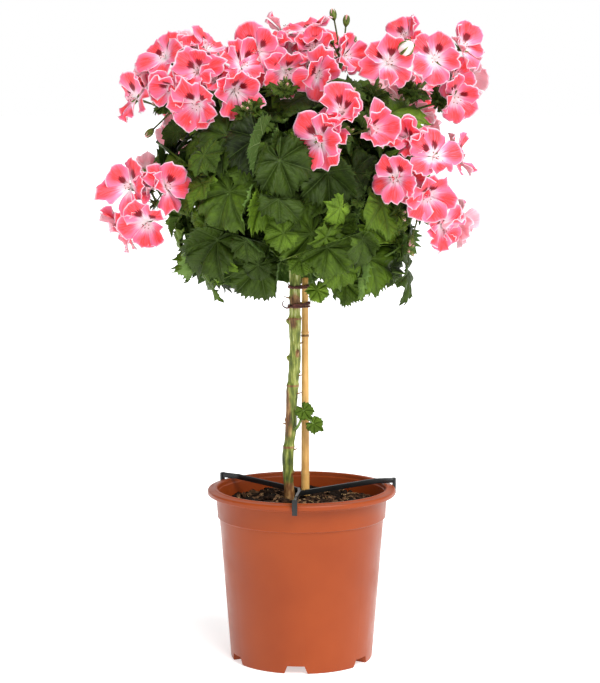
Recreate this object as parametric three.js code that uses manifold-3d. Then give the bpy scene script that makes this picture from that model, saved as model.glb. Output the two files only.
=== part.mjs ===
// A regal geranium grown as a standard: one tall stem with a round head of leaves and
// two-tone blooms, tied to a cane and standing in a terracotta-coloured plastic pot.
// Millimetres, +Z up. The origin is the middle of the pot's floor, on its underside.
import * as THREE from 'three';
import { mergeVertices } from 'three/addons/utils/BufferGeometryUtils.js';
import Module from 'manifold-3d';

const wasm = await Module();
wasm.setup();

// The gap that keeps neighbouring pieces apart
const GAP = 0.35;

// Pot
const POT_SIDES = 28;
const POT_HEIGHT = 174.2;
const POT_WALL = 1.6;
const RIM_RADIUS = 95;
const LIP_HEIGHT = 6;
const COLLAR_TOP_RADIUS = 86.5;
const COLLAR_FOOT_RADIUS = 85;
const SHOULDER_HEIGHT = 144;
const SHOULDER_STEP = 2;
const BODY_TOP_RADIUS = 83;
const BODY_FOOT_RADIUS = 71.8;
const EDGE = 1;

// Drainage channels pressed up into the floor, one behind each notch of the foot
const CHANNEL_COUNT = 6;
const CHANNEL_FIRST_ANGLE = 265.5;
const CHANNEL_HEIGHT = 8;
const CHANNEL_FOOT_WIDTH = 24;
const CHANNEL_TOP_WIDTH = 17;
const CHANNEL_START = 38;
const DRAIN_LENGTH = 14;
const DRAIN_WIDTH = 6;
const DRAIN_PLACE = 54;

// Soil
const SOIL_SIDES = 16;
const SOIL_RINGS = 3;
const SOIL_HEIGHT = 156.5;
const SOIL_MOUND = 5;
const SOIL_RELIEF = 1.6;
const CANE_DEPTH = 90;

// Trunk: places up its middle, with the radius there; the wider ones are old leaf nodes
const TRUNK_RADIUS = 5.2;
const TRUNK_SIDES = 8;
const TRUNK_PLACES = [
  [-11, -3, 110, 1], [-10.6, -3, 152, 1.08], [-13.6, -3, 182, 0.98], [-14, -3, 207, 1.16],
  [-12.4, -3, 220, 0.98], [-10.5, -3, 236, 1.1], [-10.2, -3.4, 256, 0.96], [-9.6, -3.8, 273, 1.16],
  [-8, -4, 286, 0.98], [-6.8, -4, 305, 1.12], [-6.4, -4, 322, 0.96], [-6.8, -4, 341, 1.2],
  [-6.8, -3.6, 355, 1], [-6.4, -1.6, 384, 1.04], [-6, 0, 404, 1.25], [-6, 0, 410, 1.3],
];

// Cane
const CANE_FOOT = new THREE.Vector3(4, 5, SOIL_HEIGHT - CANE_DEPTH);
const CANE_TOP = new THREE.Vector3(3.4, 4, 386);
const CANE_FOOT_RADIUS = 4.7;
const CANE_TOP_RADIUS = 3.2;
const CANE_NODES = [188, 325];
const CANE_SIDES = 8;
const CANE_STEPS = 14;
const CANE_NODE_SWELL = 0.5;

// Stem brace
const BRACE_THICK = 2.6;
const BRACE_TALL = 5;
const BRACE_HEIGHT = 169;
const BRACE_HOOK = 10;
const BRACE_HUB = [-2.4, -9];
const BRACE_ANGLES = [266, 12, 148];

// Ties round trunk and cane
const TIE_HEIGHTS = [358.5, 377];
const TIE_WIDTH = 1.3;
const TIE_TALL = 2;

// Crown: where the branches leave the trunk, and the egg that the leaves fill
const CROWN = new THREE.Vector3(-6, 0, 410);
const KNUCKLE_RADIUS = 9;
const STUB_LENGTH = 13;
const STUB_RADIUS = 2.4;
const STEM_RADIUS = 2.6;
const STALK_RADIUS = 1.8;
const KNOT_RADIUS = 4;
const FOLIAGE = new THREE.Vector3(-8, 0, 473);
const FOLIAGE_RADII = new THREE.Vector3(113, 106, 102);

// Leaves
const LEAF_LOBE = 52;
const LOBE_DEPTH = 0.12;
const BLADE_THICK = 0.8;
const PETIOLE_RADIUS = 1.15;
const PETIOLE_SEAT = 0.08;
const PETIOLE_SAG = 6;
const PETIOLE_TIP = 0.4;
const PETIOLE_LENGTHS = [34, 22, 50, 66, 14, 82];
const LEAST_AREA = 1.2;
const ROOT_MARGIN = 3;
const KEY_STRETCH = 1.12;
const OUTER_LEAVES = 38;
const INNER_LEAVES = 3;
const GOLDEN_ANGLE = Math.PI * (3 - Math.sqrt(5));

// Blooms
const PETAL_LENGTH = 26.5;
const PETAL_THICK = 0.8;
const PEDICEL_RADIUS = 0.9;
const HUB_MARGIN = 6;
const BUD_LENGTH = 12;
const BUD_RADIUS = 3.3;

// Leafy stems: the place each one grows towards, with its umbels. An umbel is the place
// where its stalk ends, the places of its blooms or their number, and of its buds.
const STEMS = [
  {
    toward: [-138, -38, 462],
    umbels: [{
      at: [-143, -28, 462],
      blooms: [
        [-164, -58, 478], [-131, -62, 478], [-148, -68, 446], [-172, -34, 440], [-153, -18, 492],
      ],
    }],
  },
  {
    toward: [-104, -34, 572],
    umbels: [
      { at: [-128, -14, 552], blooms: [[-160, -34, 563], [-146, 0, 580]], buds: [[-149, -24, 530]] },
      { at: [-112, 2, 582], blooms: [[-132, -20, 602], [-94, -14, 611], [-116, 22, 606]] },
      {
        at: [-84, -24, 574],
        blooms: [[-98, -64, 588], [-64, -84, 566], [-98, -82, 553], [-122, -58, 574], [-58, -52, 594]],
      },
    ],
  },
  {
    toward: [0, -26, 594],
    umbels: [
      { at: [-29, -8, 594], blooms: [[-42, -44, 607], [-18, -8, 627], [-16, -52, 590]] },
      { at: [16, -16, 598], blooms: [[16, -62, 588], [8, -22, 627], [40, -50, 604]] },
      { at: [40, -2, 600], blooms: [], buds: [[31, 0, 646], [44, 0, 640], [28, -4, 622], [50, -10, 620]] },
    ],
  },
  {
    toward: [104, -20, 586],
    umbels: [
      { at: [76, -30, 588], blooms: [[76, -72, 595]], buds: [[101, -50, 612]] },
      {
        at: [127, 12, 584],
        blooms: [[103, -12, 621], [128, -38, 600], [155, -14, 612], [148, -26, 566], [162, 24, 590]],
      },
    ],
  },
  {
    toward: [38, -74, 522],
    umbels: [{ at: [38, -62, 526], blooms: [[17, -106, 522], [38, -98, 548], [64, -92, 534]] }],
  },
  {
    toward: [112, -48, 478],
    umbels: [
      {
        at: [110, -44, 494],
        blooms: [[100, -78, 524], [124, -88, 508], [90, -92, 489], [118, -86, 474], [146, -46, 506]],
      },
      { at: [114, -36, 450], blooms: [[134, -60, 442], [150, -26, 442]], buds: [[106, -52, 426]] },
    ],
  },
  { toward: [-98, 70, 542], umbels: [{ at: [-98, 70, 542], blooms: 4 }] },
  { toward: [97, 78, 545], umbels: [{ at: [97, 78, 545], blooms: 4 }] },
  { toward: [0, 118, 500], umbels: [{ at: [0, 118, 500], blooms: 4 }] },
  { toward: [0, 72, 586], umbels: [{ at: [0, 72, 586], blooms: 4 }] },
  { toward: [-74, -82, 500], umbels: [] },
  { toward: [0, -98, 470], umbels: [] },
  { toward: [-76, -62, 394], umbels: [] },
  { toward: [26, -82, 384], umbels: [] },
  { toward: [86, -42, 384], umbels: [] },
  { toward: [-82, 56, 384], umbels: [] },
  { toward: [78, 66, 384], umbels: [] },
  { toward: [-4, 90, 384], umbels: [] },
];

// The leaves that stand out: where the petiole meets the blade, and where its tip is
const KEY_LEAVES = [
  [[-40, -62, 402], [-72, -58, 368]],
  [[-58, -74, 433], [-104, -64, 414]],
  [[10, -90, 436], [-12, -94, 406]],
  [[20, -90, 434], [46, -92, 400]],
  [[11, -48, 396], [18, -52, 375]],
  [[43, -40, 384], [62, -44, 366]],
  [[68, -54, 406], [82, -52, 372]],
  [[88, -36, 412], [99, -30, 368]],
  [[84, -50, 427], [97, -54, 412]],
  [[-92, -60, 488], [-112, -56, 454]],
  [[-71, -86, 528], [-81, -98, 491]],
  [[-62, -90, 477], [-85, -90, 435]],
  [[-37, -90, 524], [-38, -104, 489]],
  [[0, -72, 562], [-32, -90, 545]],
  [[-34, -76, 557], [-12, -98, 534]],
  [[44, -70, 552], [62, -80, 570]],
  [[86, -50, 550], [122, -46, 550]],
  [[26, -96, 496], [30, -106, 455]],
  [[50, -88, 498], [82, -88, 490]],
  [[79, -74, 464], [90, -80, 437]],
  [[-108, -44, 533], [-136, -48, 510]],
  [[-15, -86, 505], [-4, -100, 460]],
  [[-103, -36, 465], [-120, -36, 431]],
  [[-58, -40, 444], [-39, -50, 421]],
];

const vec = ([x, y, z]) => new THREE.Vector3(x, y, z);
const degrees = THREE.MathUtils.degToRad;

// An even-looking number from 0 to 1 that is always the same for the same two inputs
function chance(index, salt) {
  const wave = Math.sin(index * 12.9898 + salt * 78.233) * 43758.5453;
  return wave - Math.floor(wave);
}

// Solids

// A closed mesh becomes a solid; triangles that meet in a pole are dropped
function solidOf(geometry) {
  const bare = geometry.clone();
  bare.deleteAttribute('normal');
  bare.deleteAttribute('uv');
  const merged = mergeVertices(bare, 1e-4);
  const corners = merged.index.array;
  const kept = [];
  for (let i = 0; i < corners.length; i += 3) {
    const [a, b, c] = [corners[i], corners[i + 1], corners[i + 2]];
    if (a !== b && b !== c && c !== a) kept.push(a, b, c);
  }
  const mesh = new wasm.Mesh({
    numProp: 3,
    vertProperties: Float32Array.from(merged.attributes.position.array),
    triVerts: Uint32Array.from(kept),
  });
  return new wasm.Manifold(mesh);
}

function joined(solids) {
  return solids.reduce((whole, next) => whole.add(next));
}

// The largest body, without loose scraps
function main(solid) {
  return solid.decompose().reduce((most, body) => (body.volume() > most.volume() ? body : most));
}

function geometryOf(solid) {
  const mesh = solid.getMesh();
  const geometry = new THREE.BufferGeometry();
  geometry.setAttribute('position', new THREE.BufferAttribute(mesh.vertProperties, 3));
  geometry.setIndex(new THREE.BufferAttribute(mesh.triVerts, 1));
  geometry.computeVertexNormals();
  return geometry;
}

const plant = new THREE.Group();

function addPiece(name, geometry, colour, roughness) {
  const material = new THREE.MeshStandardMaterial({ color: colour, roughness, metalness: 0 });
  const mesh = new THREE.Mesh(geometry, material);
  mesh.name = name;
  plant.add(mesh);
}

// A closed round bar whose middle follows a curve and whose radius changes along it
function limb(curve, radiusAt, sides, steps) {
  const bar = new THREE.CylinderGeometry(1, 1, 1, sides, steps);
  const frames = curve.computeFrenetFrames(steps, false);
  const places = bar.attributes.position;
  const spot = new THREE.Vector3();
  for (let i = 0; i < places.count; i += 1) {
    spot.fromBufferAttribute(places, i);
    const step = Math.round((spot.y + 0.5) * steps);
    const radius = radiusAt(step / steps);
    const middle = curve.getPointAt(step / steps);
    middle.addScaledVector(frames.normals[step], spot.z * radius);
    middle.addScaledVector(frames.binormals[step], spot.x * radius);
    places.setXYZ(i, middle.x, middle.y, middle.z);
  }
  return solidOf(bar);
}

function arc(from, bend, to) {
  return new THREE.QuadraticBezierCurve3(from, bend, to);
}

// A disc with its rim drawn out to any outline: the same fan of triangles on both faces
function blade(middle, rim, thick) {
  const sides = rim.length;
  const disc = new THREE.CylinderGeometry(1, 1, 1, sides, 1);
  const places = disc.attributes.position;
  const facing = rim.map((point, i) => {
    const before = rim[(i + sides - 1) % sides].clone().sub(middle);
    const after = rim[(i + 1) % sides].clone().sub(middle);
    const here = point.clone().sub(middle);
    const first = before.cross(here).normalize();
    const second = here.clone().cross(after).normalize();
    return first.add(second).normalize();
  });
  const facingMiddle = facing.reduce((sum, n) => sum.add(n), new THREE.Vector3()).normalize();
  for (let i = 0; i < places.count; i += 1) {
    const [x, y, z] = [places.getX(i), places.getY(i), places.getZ(i)];
    const atMiddle = Math.hypot(x, z) < 0.5;
    const side = Math.round((Math.atan2(x, z) / (2 * Math.PI)) * sides + sides) % sides;
    const point = (atMiddle ? middle : rim[side]).clone();
    point.addScaledVector(atMiddle ? facingMiddle : facing[side], Math.sign(y) * thick * 0.5);
    places.setXYZ(i, point.x, point.y, point.z);
  }
  return solidOf(disc);
}

// The room of each stem

// Each stem keeps to its own cone round its direction from the crown's middle, so that
// no leaf or bloom crosses those of the next stem. The cone's sides are flat walls half
// way to each neighbour, and one neighbour is the trunk below.
const DOWN = new THREE.Vector3(0, 0, -1);
const directions = STEMS.map((stem) => vec(stem.toward).sub(CROWN).normalize());

function wallsOf(stem) {
  const own = directions[stem];
  const others = directions.filter((direction, i) => i !== stem).concat([DOWN]);
  return others.map((other) => {
    const normal = other.clone().sub(own).normalize();
    return { normal, reach: normal.dot(CROWN) - GAP / 2 };
  });
}

function stemAt(point) {
  const toward = point.clone().sub(CROWN).normalize();
  const nearness = directions.map((direction) => direction.dot(toward));
  return nearness.indexOf(Math.max(...nearness));
}

// The flat wall between an umbel's blooms and the leaves under it
function umbelWall(umbel, outward) {
  const at = vec(umbel.at);
  const normal = at.clone().sub(FOLIAGE).normalize();
  const heads = Array.isArray(umbel.blooms) ? umbel.blooms.map(vec) : [];
  if (heads.length > 0) {
    const lean = heads.reduce((sum, head) => sum.add(head), new THREE.Vector3());
    normal.add(lean.divideScalar(heads.length).sub(at).normalize()).normalize();
  }
  const reach = normal.dot(at) - 5;
  if (outward) return { normal: normal.clone().negate(), reach: -reach - GAP };
  return { normal, reach };
}

function headWalls(index, umbel) {
  return wallsOf(index).concat([umbelWall(umbel, true)]);
}

function pushInside(point, walls, margin) {
  for (let pass = 0; pass < 4; pass += 1) {
    for (const wall of walls) {
      const over = wall.normal.dot(point) - wall.reach + margin;
      if (over > 0) point.addScaledVector(wall.normal, -over);
    }
  }
  return point;
}

// Goes from one point towards another in short steps. At a wall it turns along the wall
// and towards the blade's upper face, so that a blade bends there and keeps its length.
const REACH_STEPS = 24;
function reach(from, to, upper, walls, margin) {
  const here = from.clone();
  const heading = to.clone().sub(from);
  const step = heading.length() / REACH_STEPS;
  heading.normalize();
  for (let i = 0; i < REACH_STEPS; i += 1) {
    here.addScaledVector(heading, step);
    for (const wall of walls) {
      const over = wall.normal.dot(here) - wall.reach + margin;
      const into = heading.dot(wall.normal);
      if (over > 0 && into > 0) {
        const along = upper.clone().addScaledVector(wall.normal, -upper.dot(wall.normal));
        heading.addScaledVector(wall.normal, -into).addScaledVector(along, into).normalize();
      }
      if (over > 0) here.addScaledVector(wall.normal, -over);
    }
  }
  return pushInside(here, walls, margin);
}

// Leaves

// How far the margin is from the petiole, as a share of the leaf's length
function leafReach(angle) {
  const turn = Math.abs(angle) / Math.PI;
  const sinus = Math.abs(Math.abs(angle) - Math.PI) < 0.01 ? 0.25 : 1;
  const lobes = 1 + LOBE_DEPTH * Math.cos((Math.abs(angle) / degrees(LEAF_LOBE)) * 2 * Math.PI);
  return (1 - 0.4 * turn ** 1.6) * lobes * sinus;
}

// Angles of the outline's points round the blade: lobe tips and the notches between them
const LEAF_SPREAD = [0, 26, 52, 78, 104, 128, 150, 180];
const LEAF_ANGLES = LEAF_SPREAD.concat(LEAF_SPREAD.slice(1, -1).reverse().map((a) => -a)).map(degrees);

function leafHeight(share, angle, wave) {
  const cup = -0.1 * share * share;
  const ruffle = 0.05 * share * share * Math.sin(3 * angle + wave);
  return cup + ruffle;
}

function leafOf(spec, walls) {
  const { root, along, upper, size, wave } = spec;
  const across = upper.clone().cross(along);
  const margin = BLADE_THICK / 2 + 0.05;
  const rim = LEAF_ANGLES.map((angle) => {
    const share = leafReach(angle);
    const to = root.clone();
    to.addScaledVector(along, Math.cos(angle) * share * size);
    to.addScaledVector(across, Math.sin(angle) * share * size);
    to.addScaledVector(upper, leafHeight(share, angle, wave) * size);
    return reach(root, to, upper, walls, margin);
  });
  const seat = root.clone().lerp(rim[0], PETIOLE_SEAT).lerp(rim[1], PETIOLE_SEAT);
  return { face: blade(root, rim, BLADE_THICK), seat };
}

// A leaf's place from its root and tip; its upper face looks away from the crown's
// middle and up
function leafSpec(root, tip, index) {
  const along = tip.clone().sub(root);
  const size = along.length() / 1.05;
  along.normalize();
  const upper = root.clone().add(tip).multiplyScalar(0.5).sub(FOLIAGE).normalize();
  upper.z += 0.35;
  upper.addScaledVector(along, -upper.dot(along)).normalize();
  return { root, along, upper, size, wave: 6 * chance(index, 3) };
}

// Leaves spread evenly over an egg, hanging outwards and down like shingles
function spreadLeaves(count, share, firstSize, sizeRange, salt) {
  const specs = [];
  for (let i = 0; i < count; i += 1) {
    const rise = 0.9 - (1.62 * (i + 0.5)) / count;
    const turn = i * GOLDEN_ANGLE + salt;
    const flat = Math.sqrt(1 - rise * rise);
    const out = new THREE.Vector3(flat * Math.cos(turn), flat * Math.sin(turn), rise);
    const place = out.clone().multiply(FOLIAGE_RADII).multiplyScalar(share - 0.1 * chance(i, salt));
    place.add(FOLIAGE);
    const hang = new THREE.Vector3(0, 0, -1).addScaledVector(out, out.z).normalize();
    hang.applyAxisAngle(out, 1.6 * (chance(i, salt + 1) - 0.5));
    const along = hang.multiplyScalar(0.94).addScaledVector(out, 0.34).normalize();
    const size = firstSize + sizeRange * chance(i, salt + 2);
    const root = place.clone().addScaledVector(along, -0.4 * size);
    const tip = place.clone().addScaledVector(along, 0.65 * size);
    specs.push({ root, tip, place });
  }
  return specs;
}

const keyLeaves = KEY_LEAVES.map(([from, to]) => {
  const root = vec(from);
  const tip = root.clone().lerp(vec(to), KEY_STRETCH);
  return { root, tip, place: root.clone().lerp(tip, 0.4) };
});
const KEY_CLEARANCE = 30;
const outerLeaves = spreadLeaves(OUTER_LEAVES, 1, 34, 12, 1).filter((leaf) => {
  return keyLeaves.every((key) => key.place.distanceTo(leaf.place) > KEY_CLEARANCE);
});
const innerLeaves = spreadLeaves(INNER_LEAVES, 0.66, 32, 8, 5);
const leaves = [...keyLeaves, ...outerLeaves, ...innerLeaves];

// Blooms

// A number of blooms stands for a dome of them: one in the middle and the rest round it
function domeOf(umbel) {
  const at = vec(umbel.at);
  const axis = at.clone().sub(FOLIAGE).normalize();
  const side = new THREE.Vector3(0, 0, 1).cross(axis).normalize();
  const round = umbel.blooms - 1;
  const places = [at.clone().addScaledVector(axis, 34)];
  for (let i = 0; i < round; i += 1) {
    const lean = side.clone().applyAxisAngle(axis, (i / round) * 2 * Math.PI + 0.5);
    places.push(at.clone().addScaledVector(axis, 19).addScaledVector(lean, 32));
  }
  return places;
}

function bloomsOf(index, umbel) {
  const walls = headWalls(index, umbel);
  const places = Array.isArray(umbel.blooms) ? umbel.blooms.map(vec) : domeOf(umbel);
  return places.map((place, i) => {
    pushInside(place, walls, HUB_MARGIN);
    const facing = place.clone().sub(vec(umbel.at)).normalize();
    const up = new THREE.Vector3(0, 0, 1).addScaledVector(facing, -facing.z);
    if (up.length() < 0.2) up.set(1, 0, 0).addScaledVector(facing, -facing.x);
    up.normalize().applyAxisAngle(facing, chance(i, place.x) - 0.5);
    const size = PETAL_LENGTH * (0.92 + 0.16 * chance(i, place.z));
    return { place, facing, up, size, wave: 6 * chance(i, place.y) };
  });
}

// A bloom's five petals are cut from one thin funnel. Each petal has two shoulders, one
// lifted and one lowered so that it lies over the next petal's edge, and a notch after it.
// A corner is its turn in degrees from the petal's middle, its share of the petal's length
// and its lift.
const PETAL_COUNT = 5;
const PETAL_TURN = 360 / PETAL_COUNT;
const PETAL_CORNERS = [[-18, 1, 0.05], [18, 1, -0.05], [PETAL_TURN / 2, 0.72, 0]];

function petalHeight(share, angle, wave) {
  const funnel = 0.42 * share - 0.2 * share * share;
  const ruffle = 0.05 * share * share * Math.sin(4 * angle + wave);
  return funnel + ruffle;
}

function bloomSolid(bloom, walls) {
  const { place, facing, up, size, wave } = bloom;
  const margin = PETAL_THICK / 2 + 0.05;
  const side = up.clone().cross(facing);
  const rim = [];
  for (let petal = 0; petal < PETAL_COUNT; petal += 1) {
    for (const [turn, share, lift] of PETAL_CORNERS) {
      const angle = degrees((petal + 0.5) * PETAL_TURN + turn);
      const to = place.clone().addScaledVector(up, Math.cos(angle) * share * size);
      to.addScaledVector(side, Math.sin(angle) * share * size);
      to.addScaledVector(facing, (petalHeight(share, angle, wave) + lift) * size);
      rim.push(reach(place, to, facing, walls, margin));
    }
  }
  return blade(place, rim, PETAL_THICK);
}

// Green parts of an umbel

function pedicelOf(at, bloom) {
  const end = bloom.place.clone().addScaledVector(bloom.facing, -PETAL_THICK / 2 - GAP - 0.4);
  const middle = at.clone().lerp(end, 0.6);
  return limb(arc(at, middle, end), (share) => PEDICEL_RADIUS * (1 + share), 3, 1);
}

function budOf(at, place) {
  const facing = place.clone().sub(at).normalize();
  const foot = place.clone().addScaledVector(facing, -BUD_LENGTH / 2);
  const bud = new THREE.SphereGeometry(1, 5, 3);
  bud.rotateX(Math.PI / 2);
  bud.scale(BUD_RADIUS, BUD_RADIUS, BUD_LENGTH / 2);
  bud.applyQuaternion(new THREE.Quaternion().setFromUnitVectors(new THREE.Vector3(0, 0, 1), facing));
  bud.translate(place.x, place.y, place.z);
  const end = foot.addScaledVector(facing, 2);
  return solidOf(bud).add(limb(arc(at, at.clone().lerp(end, 0.5), end), () => PEDICEL_RADIUS, 4, 1));
}

// Stems

// A stem bends from its stub at the crown's middle to the place where it ends
function stemCurve(index, end) {
  const direction = directions[index];
  const from = CROWN.clone().addScaledVector(direction, STUB_LENGTH + GAP);
  const bend = CROWN.clone().addScaledVector(direction, CROWN.distanceTo(end) * 0.55);
  return arc(from, bend, end);
}

function stemCurves(index) {
  const { toward, umbels } = STEMS[index];
  if (umbels.length > 0) return umbels.map((umbel) => stemCurve(index, vec(umbel.at)));
  const end = CROWN.clone().addScaledVector(directions[index], CROWN.distanceTo(vec(toward)) * 0.7);
  return [stemCurve(index, end)];
}

// The petiole leaves its stem at a place that is about a given distance from the blade
function petioleOf(leaf, seat, curves, walls, distance) {
  let best = null;
  for (const curve of curves) {
    for (let share = 0.15; share < 0.9; share += 0.1) {
      const from = curve.getPointAt(share);
      const cost = Math.abs(from.distanceTo(leaf.root) - distance);
      if (!best || cost < best.cost) best = { cost, from };
    }
  }
  const bend = best.from.clone().lerp(leaf.root, 0.6);
  bend.addScaledVector(leaf.upper, -PETIOLE_SAG);
  pushInside(bend, walls, PETIOLE_RADIUS + 0.3);
  const radiusAt = (share) => PETIOLE_RADIUS * (1 - (1 - PETIOLE_TIP) * share ** 4);
  return limb(arc(best.from, bend, seat), radiusAt, 3, 2);
}

// The ways in which a leaf may be bent clear of the others: swung round its stem, moved out
// or in, and at last smaller
function* bends() {
  for (const scale of [1, 0.85, 0.7]) {
    for (const swing of [0, 9, -9, 18, -18, 30, -30, 45, -45]) {
      for (const shift of [0, 5, -5, 10, -10, 15, -15, 20, -20]) yield { scale, swing, shift };
    }
  }
}

function bentPlace(leaf, bend, index) {
  const outward = leaf.place.clone().sub(FOLIAGE).normalize().multiplyScalar(bend.shift);
  const moved = (point) => {
    const swung = point.clone().sub(CROWN).applyAxisAngle(directions[index], degrees(bend.swing));
    return swung.add(CROWN).add(outward);
  };
  const root = moved(leaf.root);
  return { root, tip: root.clone().lerp(moved(leaf.tip), bend.scale) };
}

// The first way that crosses no stem and no leaf that stands already, and that leaves the
// blade most of its area
function settledLeaf(leaf, number, index, curves, stems, walls, standing) {
  for (const bend of bends()) {
    const { root, tip } = bentPlace(leaf, bend, index);
    const spec = leafSpec(pushInside(root, walls, ROOT_MARGIN), tip, number);
    const { face, seat } = leafOf(spec, walls);
    if (face.volume() < LEAST_AREA * spec.size ** 2 * BLADE_THICK) continue;
    if (!stems.intersect(face).isEmpty()) continue;
    if (standing.some((other) => !other.whole.intersect(face).isEmpty())) continue;
    for (const distance of PETIOLE_LENGTHS) {
      const petiole = petioleOf(spec, seat, curves, walls, distance);
      if (standing.some((other) => !other.face.intersect(petiole).isEmpty())) continue;
      const whole = face.add(petiole);
      if (whole.decompose().length === 1) return { face, whole };
    }
  }
  return null;
}

function leafyStem(index) {
  const { umbels } = STEMS[index];
  const walls = wallsOf(index).concat(umbels.map((umbel) => umbelWall(umbel, false)));
  const curves = stemCurves(index);
  const thickness = (share) => STEM_RADIUS + (STALK_RADIUS - STEM_RADIUS) * share;
  const stems = joined(curves.map((curve) => limb(curve, thickness, 4, 3)));
  const standing = [];
  leaves.forEach((leaf, i) => {
    if (stemAt(leaf.place) !== index) return;
    const settled = settledLeaf(leaf, i, index, curves, stems, walls, standing);
    if (settled) standing.push(settled);
  });
  const parts = [stems].concat(standing.map((leaf) => leaf.whole));
  for (const umbel of umbels) {
    const at = vec(umbel.at);
    const knot = new THREE.OctahedronGeometry(KNOT_RADIUS, 0).translate(at.x, at.y, at.z);
    parts.push(solidOf(knot));
    bloomsOf(index, umbel).forEach((bloom) => parts.push(pedicelOf(at, bloom)));
    (umbel.buds ?? []).forEach((place) => parts.push(budOf(at, vec(place))));
  }
  return joined(parts);
}

function flowerHead(index) {
  const parts = [];
  for (const umbel of STEMS[index].umbels) {
    const walls = headWalls(index, umbel);
    bloomsOf(index, umbel).forEach((bloom) => parts.push(bloomSolid(bloom, walls)));
  }
  return joined(parts);
}

// Pot

function potProfile() {
  const top = POT_HEIGHT;
  const points = [
    [0, 0], [BODY_FOOT_RADIUS - EDGE, 0], [BODY_FOOT_RADIUS, EDGE],
    [BODY_TOP_RADIUS, SHOULDER_HEIGHT], [COLLAR_FOOT_RADIUS, SHOULDER_HEIGHT + SHOULDER_STEP],
    [COLLAR_TOP_RADIUS, top - POT_WALL], [RIM_RADIUS - POT_WALL, top - POT_WALL],
    [RIM_RADIUS - POT_WALL, top - LIP_HEIGHT], [RIM_RADIUS, top - LIP_HEIGHT],
    [RIM_RADIUS, top - EDGE], [RIM_RADIUS - EDGE, top], [COLLAR_TOP_RADIUS - POT_WALL, top],
    [COLLAR_FOOT_RADIUS - POT_WALL, SHOULDER_HEIGHT + SHOULDER_STEP],
    [BODY_TOP_RADIUS - POT_WALL, SHOULDER_HEIGHT], [BODY_FOOT_RADIUS - POT_WALL, POT_WALL],
    [0, POT_WALL],
  ];
  return points.map(([r, z]) => new THREE.Vector2(r, z));
}

// A lathe turns about Y, so it is stood up along Z
function turned(profile, sides) {
  return new THREE.LatheGeometry(profile, sides).rotateX(Math.PI / 2);
}

// A radial channel of trapezoid section, grown by a margin on its top and sides
function channel(angle, start, end, margin) {
  const foot = CHANNEL_FOOT_WIDTH / 2 + margin;
  const top = CHANNEL_TOP_WIDTH / 2 + margin;
  const section = new THREE.Shape([
    new THREE.Vector2(-foot, -1), new THREE.Vector2(foot, -1),
    new THREE.Vector2(foot, 0), new THREE.Vector2(top, CHANNEL_HEIGHT + margin),
    new THREE.Vector2(-top, CHANNEL_HEIGHT + margin), new THREE.Vector2(-foot, 0),
  ]);
  const bar = new THREE.ExtrudeGeometry(section, { depth: end - start, bevelEnabled: false });
  bar.rotateX(Math.PI / 2).rotateZ(Math.PI / 2).translate(start, 0, 0).rotateZ(degrees(angle));
  return solidOf(bar);
}

const channelAngles = Array.from({ length: CHANNEL_COUNT }, (unused, i) => {
  return CHANNEL_FIRST_ANGLE + (i * 360) / CHANNEL_COUNT;
});

function potSolid() {
  const shell = solidOf(turned(potProfile(), POT_SIDES));
  const inside = solidOf(turned([
    new THREE.Vector2(0, 0), new THREE.Vector2(BODY_FOOT_RADIUS - POT_WALL / 2, 0),
    new THREE.Vector2(BODY_FOOT_RADIUS - POT_WALL / 2 + 1, CHANNEL_HEIGHT + 4),
    new THREE.Vector2(0, CHANNEL_HEIGHT + 4),
  ], POT_SIDES));
  let pot = shell;
  for (const angle of channelAngles) {
    const roof = channel(angle, CHANNEL_START - POT_WALL, BODY_FOOT_RADIUS + 4, POT_WALL);
    pot = pot.add(roof.intersect(inside));
  }
  for (const angle of channelAngles) {
    pot = pot.subtract(channel(angle, CHANNEL_START, BODY_FOOT_RADIUS + 8, 0));
    const drain = new THREE.BoxGeometry(DRAIN_LENGTH, DRAIN_WIDTH, 6);
    drain.translate(DRAIN_PLACE, 0, CHANNEL_HEIGHT + 1).rotateZ(degrees(angle));
    pot = pot.subtract(solidOf(drain));
  }
  return pot;
}

// Soil

function soilTop(x, y) {
  const radius = Math.hypot(x, y);
  const mound = SOIL_MOUND * Math.cos((Math.min(radius / 80, 1) * Math.PI) / 2) ** 2;
  const lumps = Math.sin(x * 0.21 + 1) * Math.cos(y * 0.17) + Math.sin(x * 0.11 - y * 0.23);
  return SOIL_HEIGHT + mound + SOIL_RELIEF * 0.5 * lumps;
}

function soilSolid() {
  const gap = POT_WALL + GAP + 0.5;
  const topRadius = COLLAR_FOOT_RADIUS - gap;
  const profile = [
    [0, POT_WALL + GAP], [BODY_FOOT_RADIUS - gap, POT_WALL + GAP],
    [BODY_TOP_RADIUS - gap, SHOULDER_HEIGHT], [topRadius, SHOULDER_HEIGHT + SHOULDER_STEP + 1],
  ].map(([r, z]) => new THREE.Vector2(r, z));
  for (let i = SOIL_RINGS; i >= 0; i -= 1) {
    profile.push(new THREE.Vector2((topRadius * i) / SOIL_RINGS, SOIL_HEIGHT));
  }
  const body = turned(profile, SOIL_SIDES);
  const places = body.attributes.position;
  for (let i = 0; i < places.count; i += 1) {
    if (Math.abs(places.getZ(i) - SOIL_HEIGHT) < 0.01) {
      places.setZ(i, soilTop(places.getX(i), places.getY(i)));
    }
  }
  let soil = solidOf(body);
  for (const angle of channelAngles) {
    soil = soil.subtract(channel(angle, CHANNEL_START - POT_WALL - GAP, 90, POT_WALL + GAP));
  }
  return soil;
}

// Trunk and cane

const trunkCurve = new THREE.CatmullRomCurve3(TRUNK_PLACES.map(vec));
const TRUNK_STEPS = 20;

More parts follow.
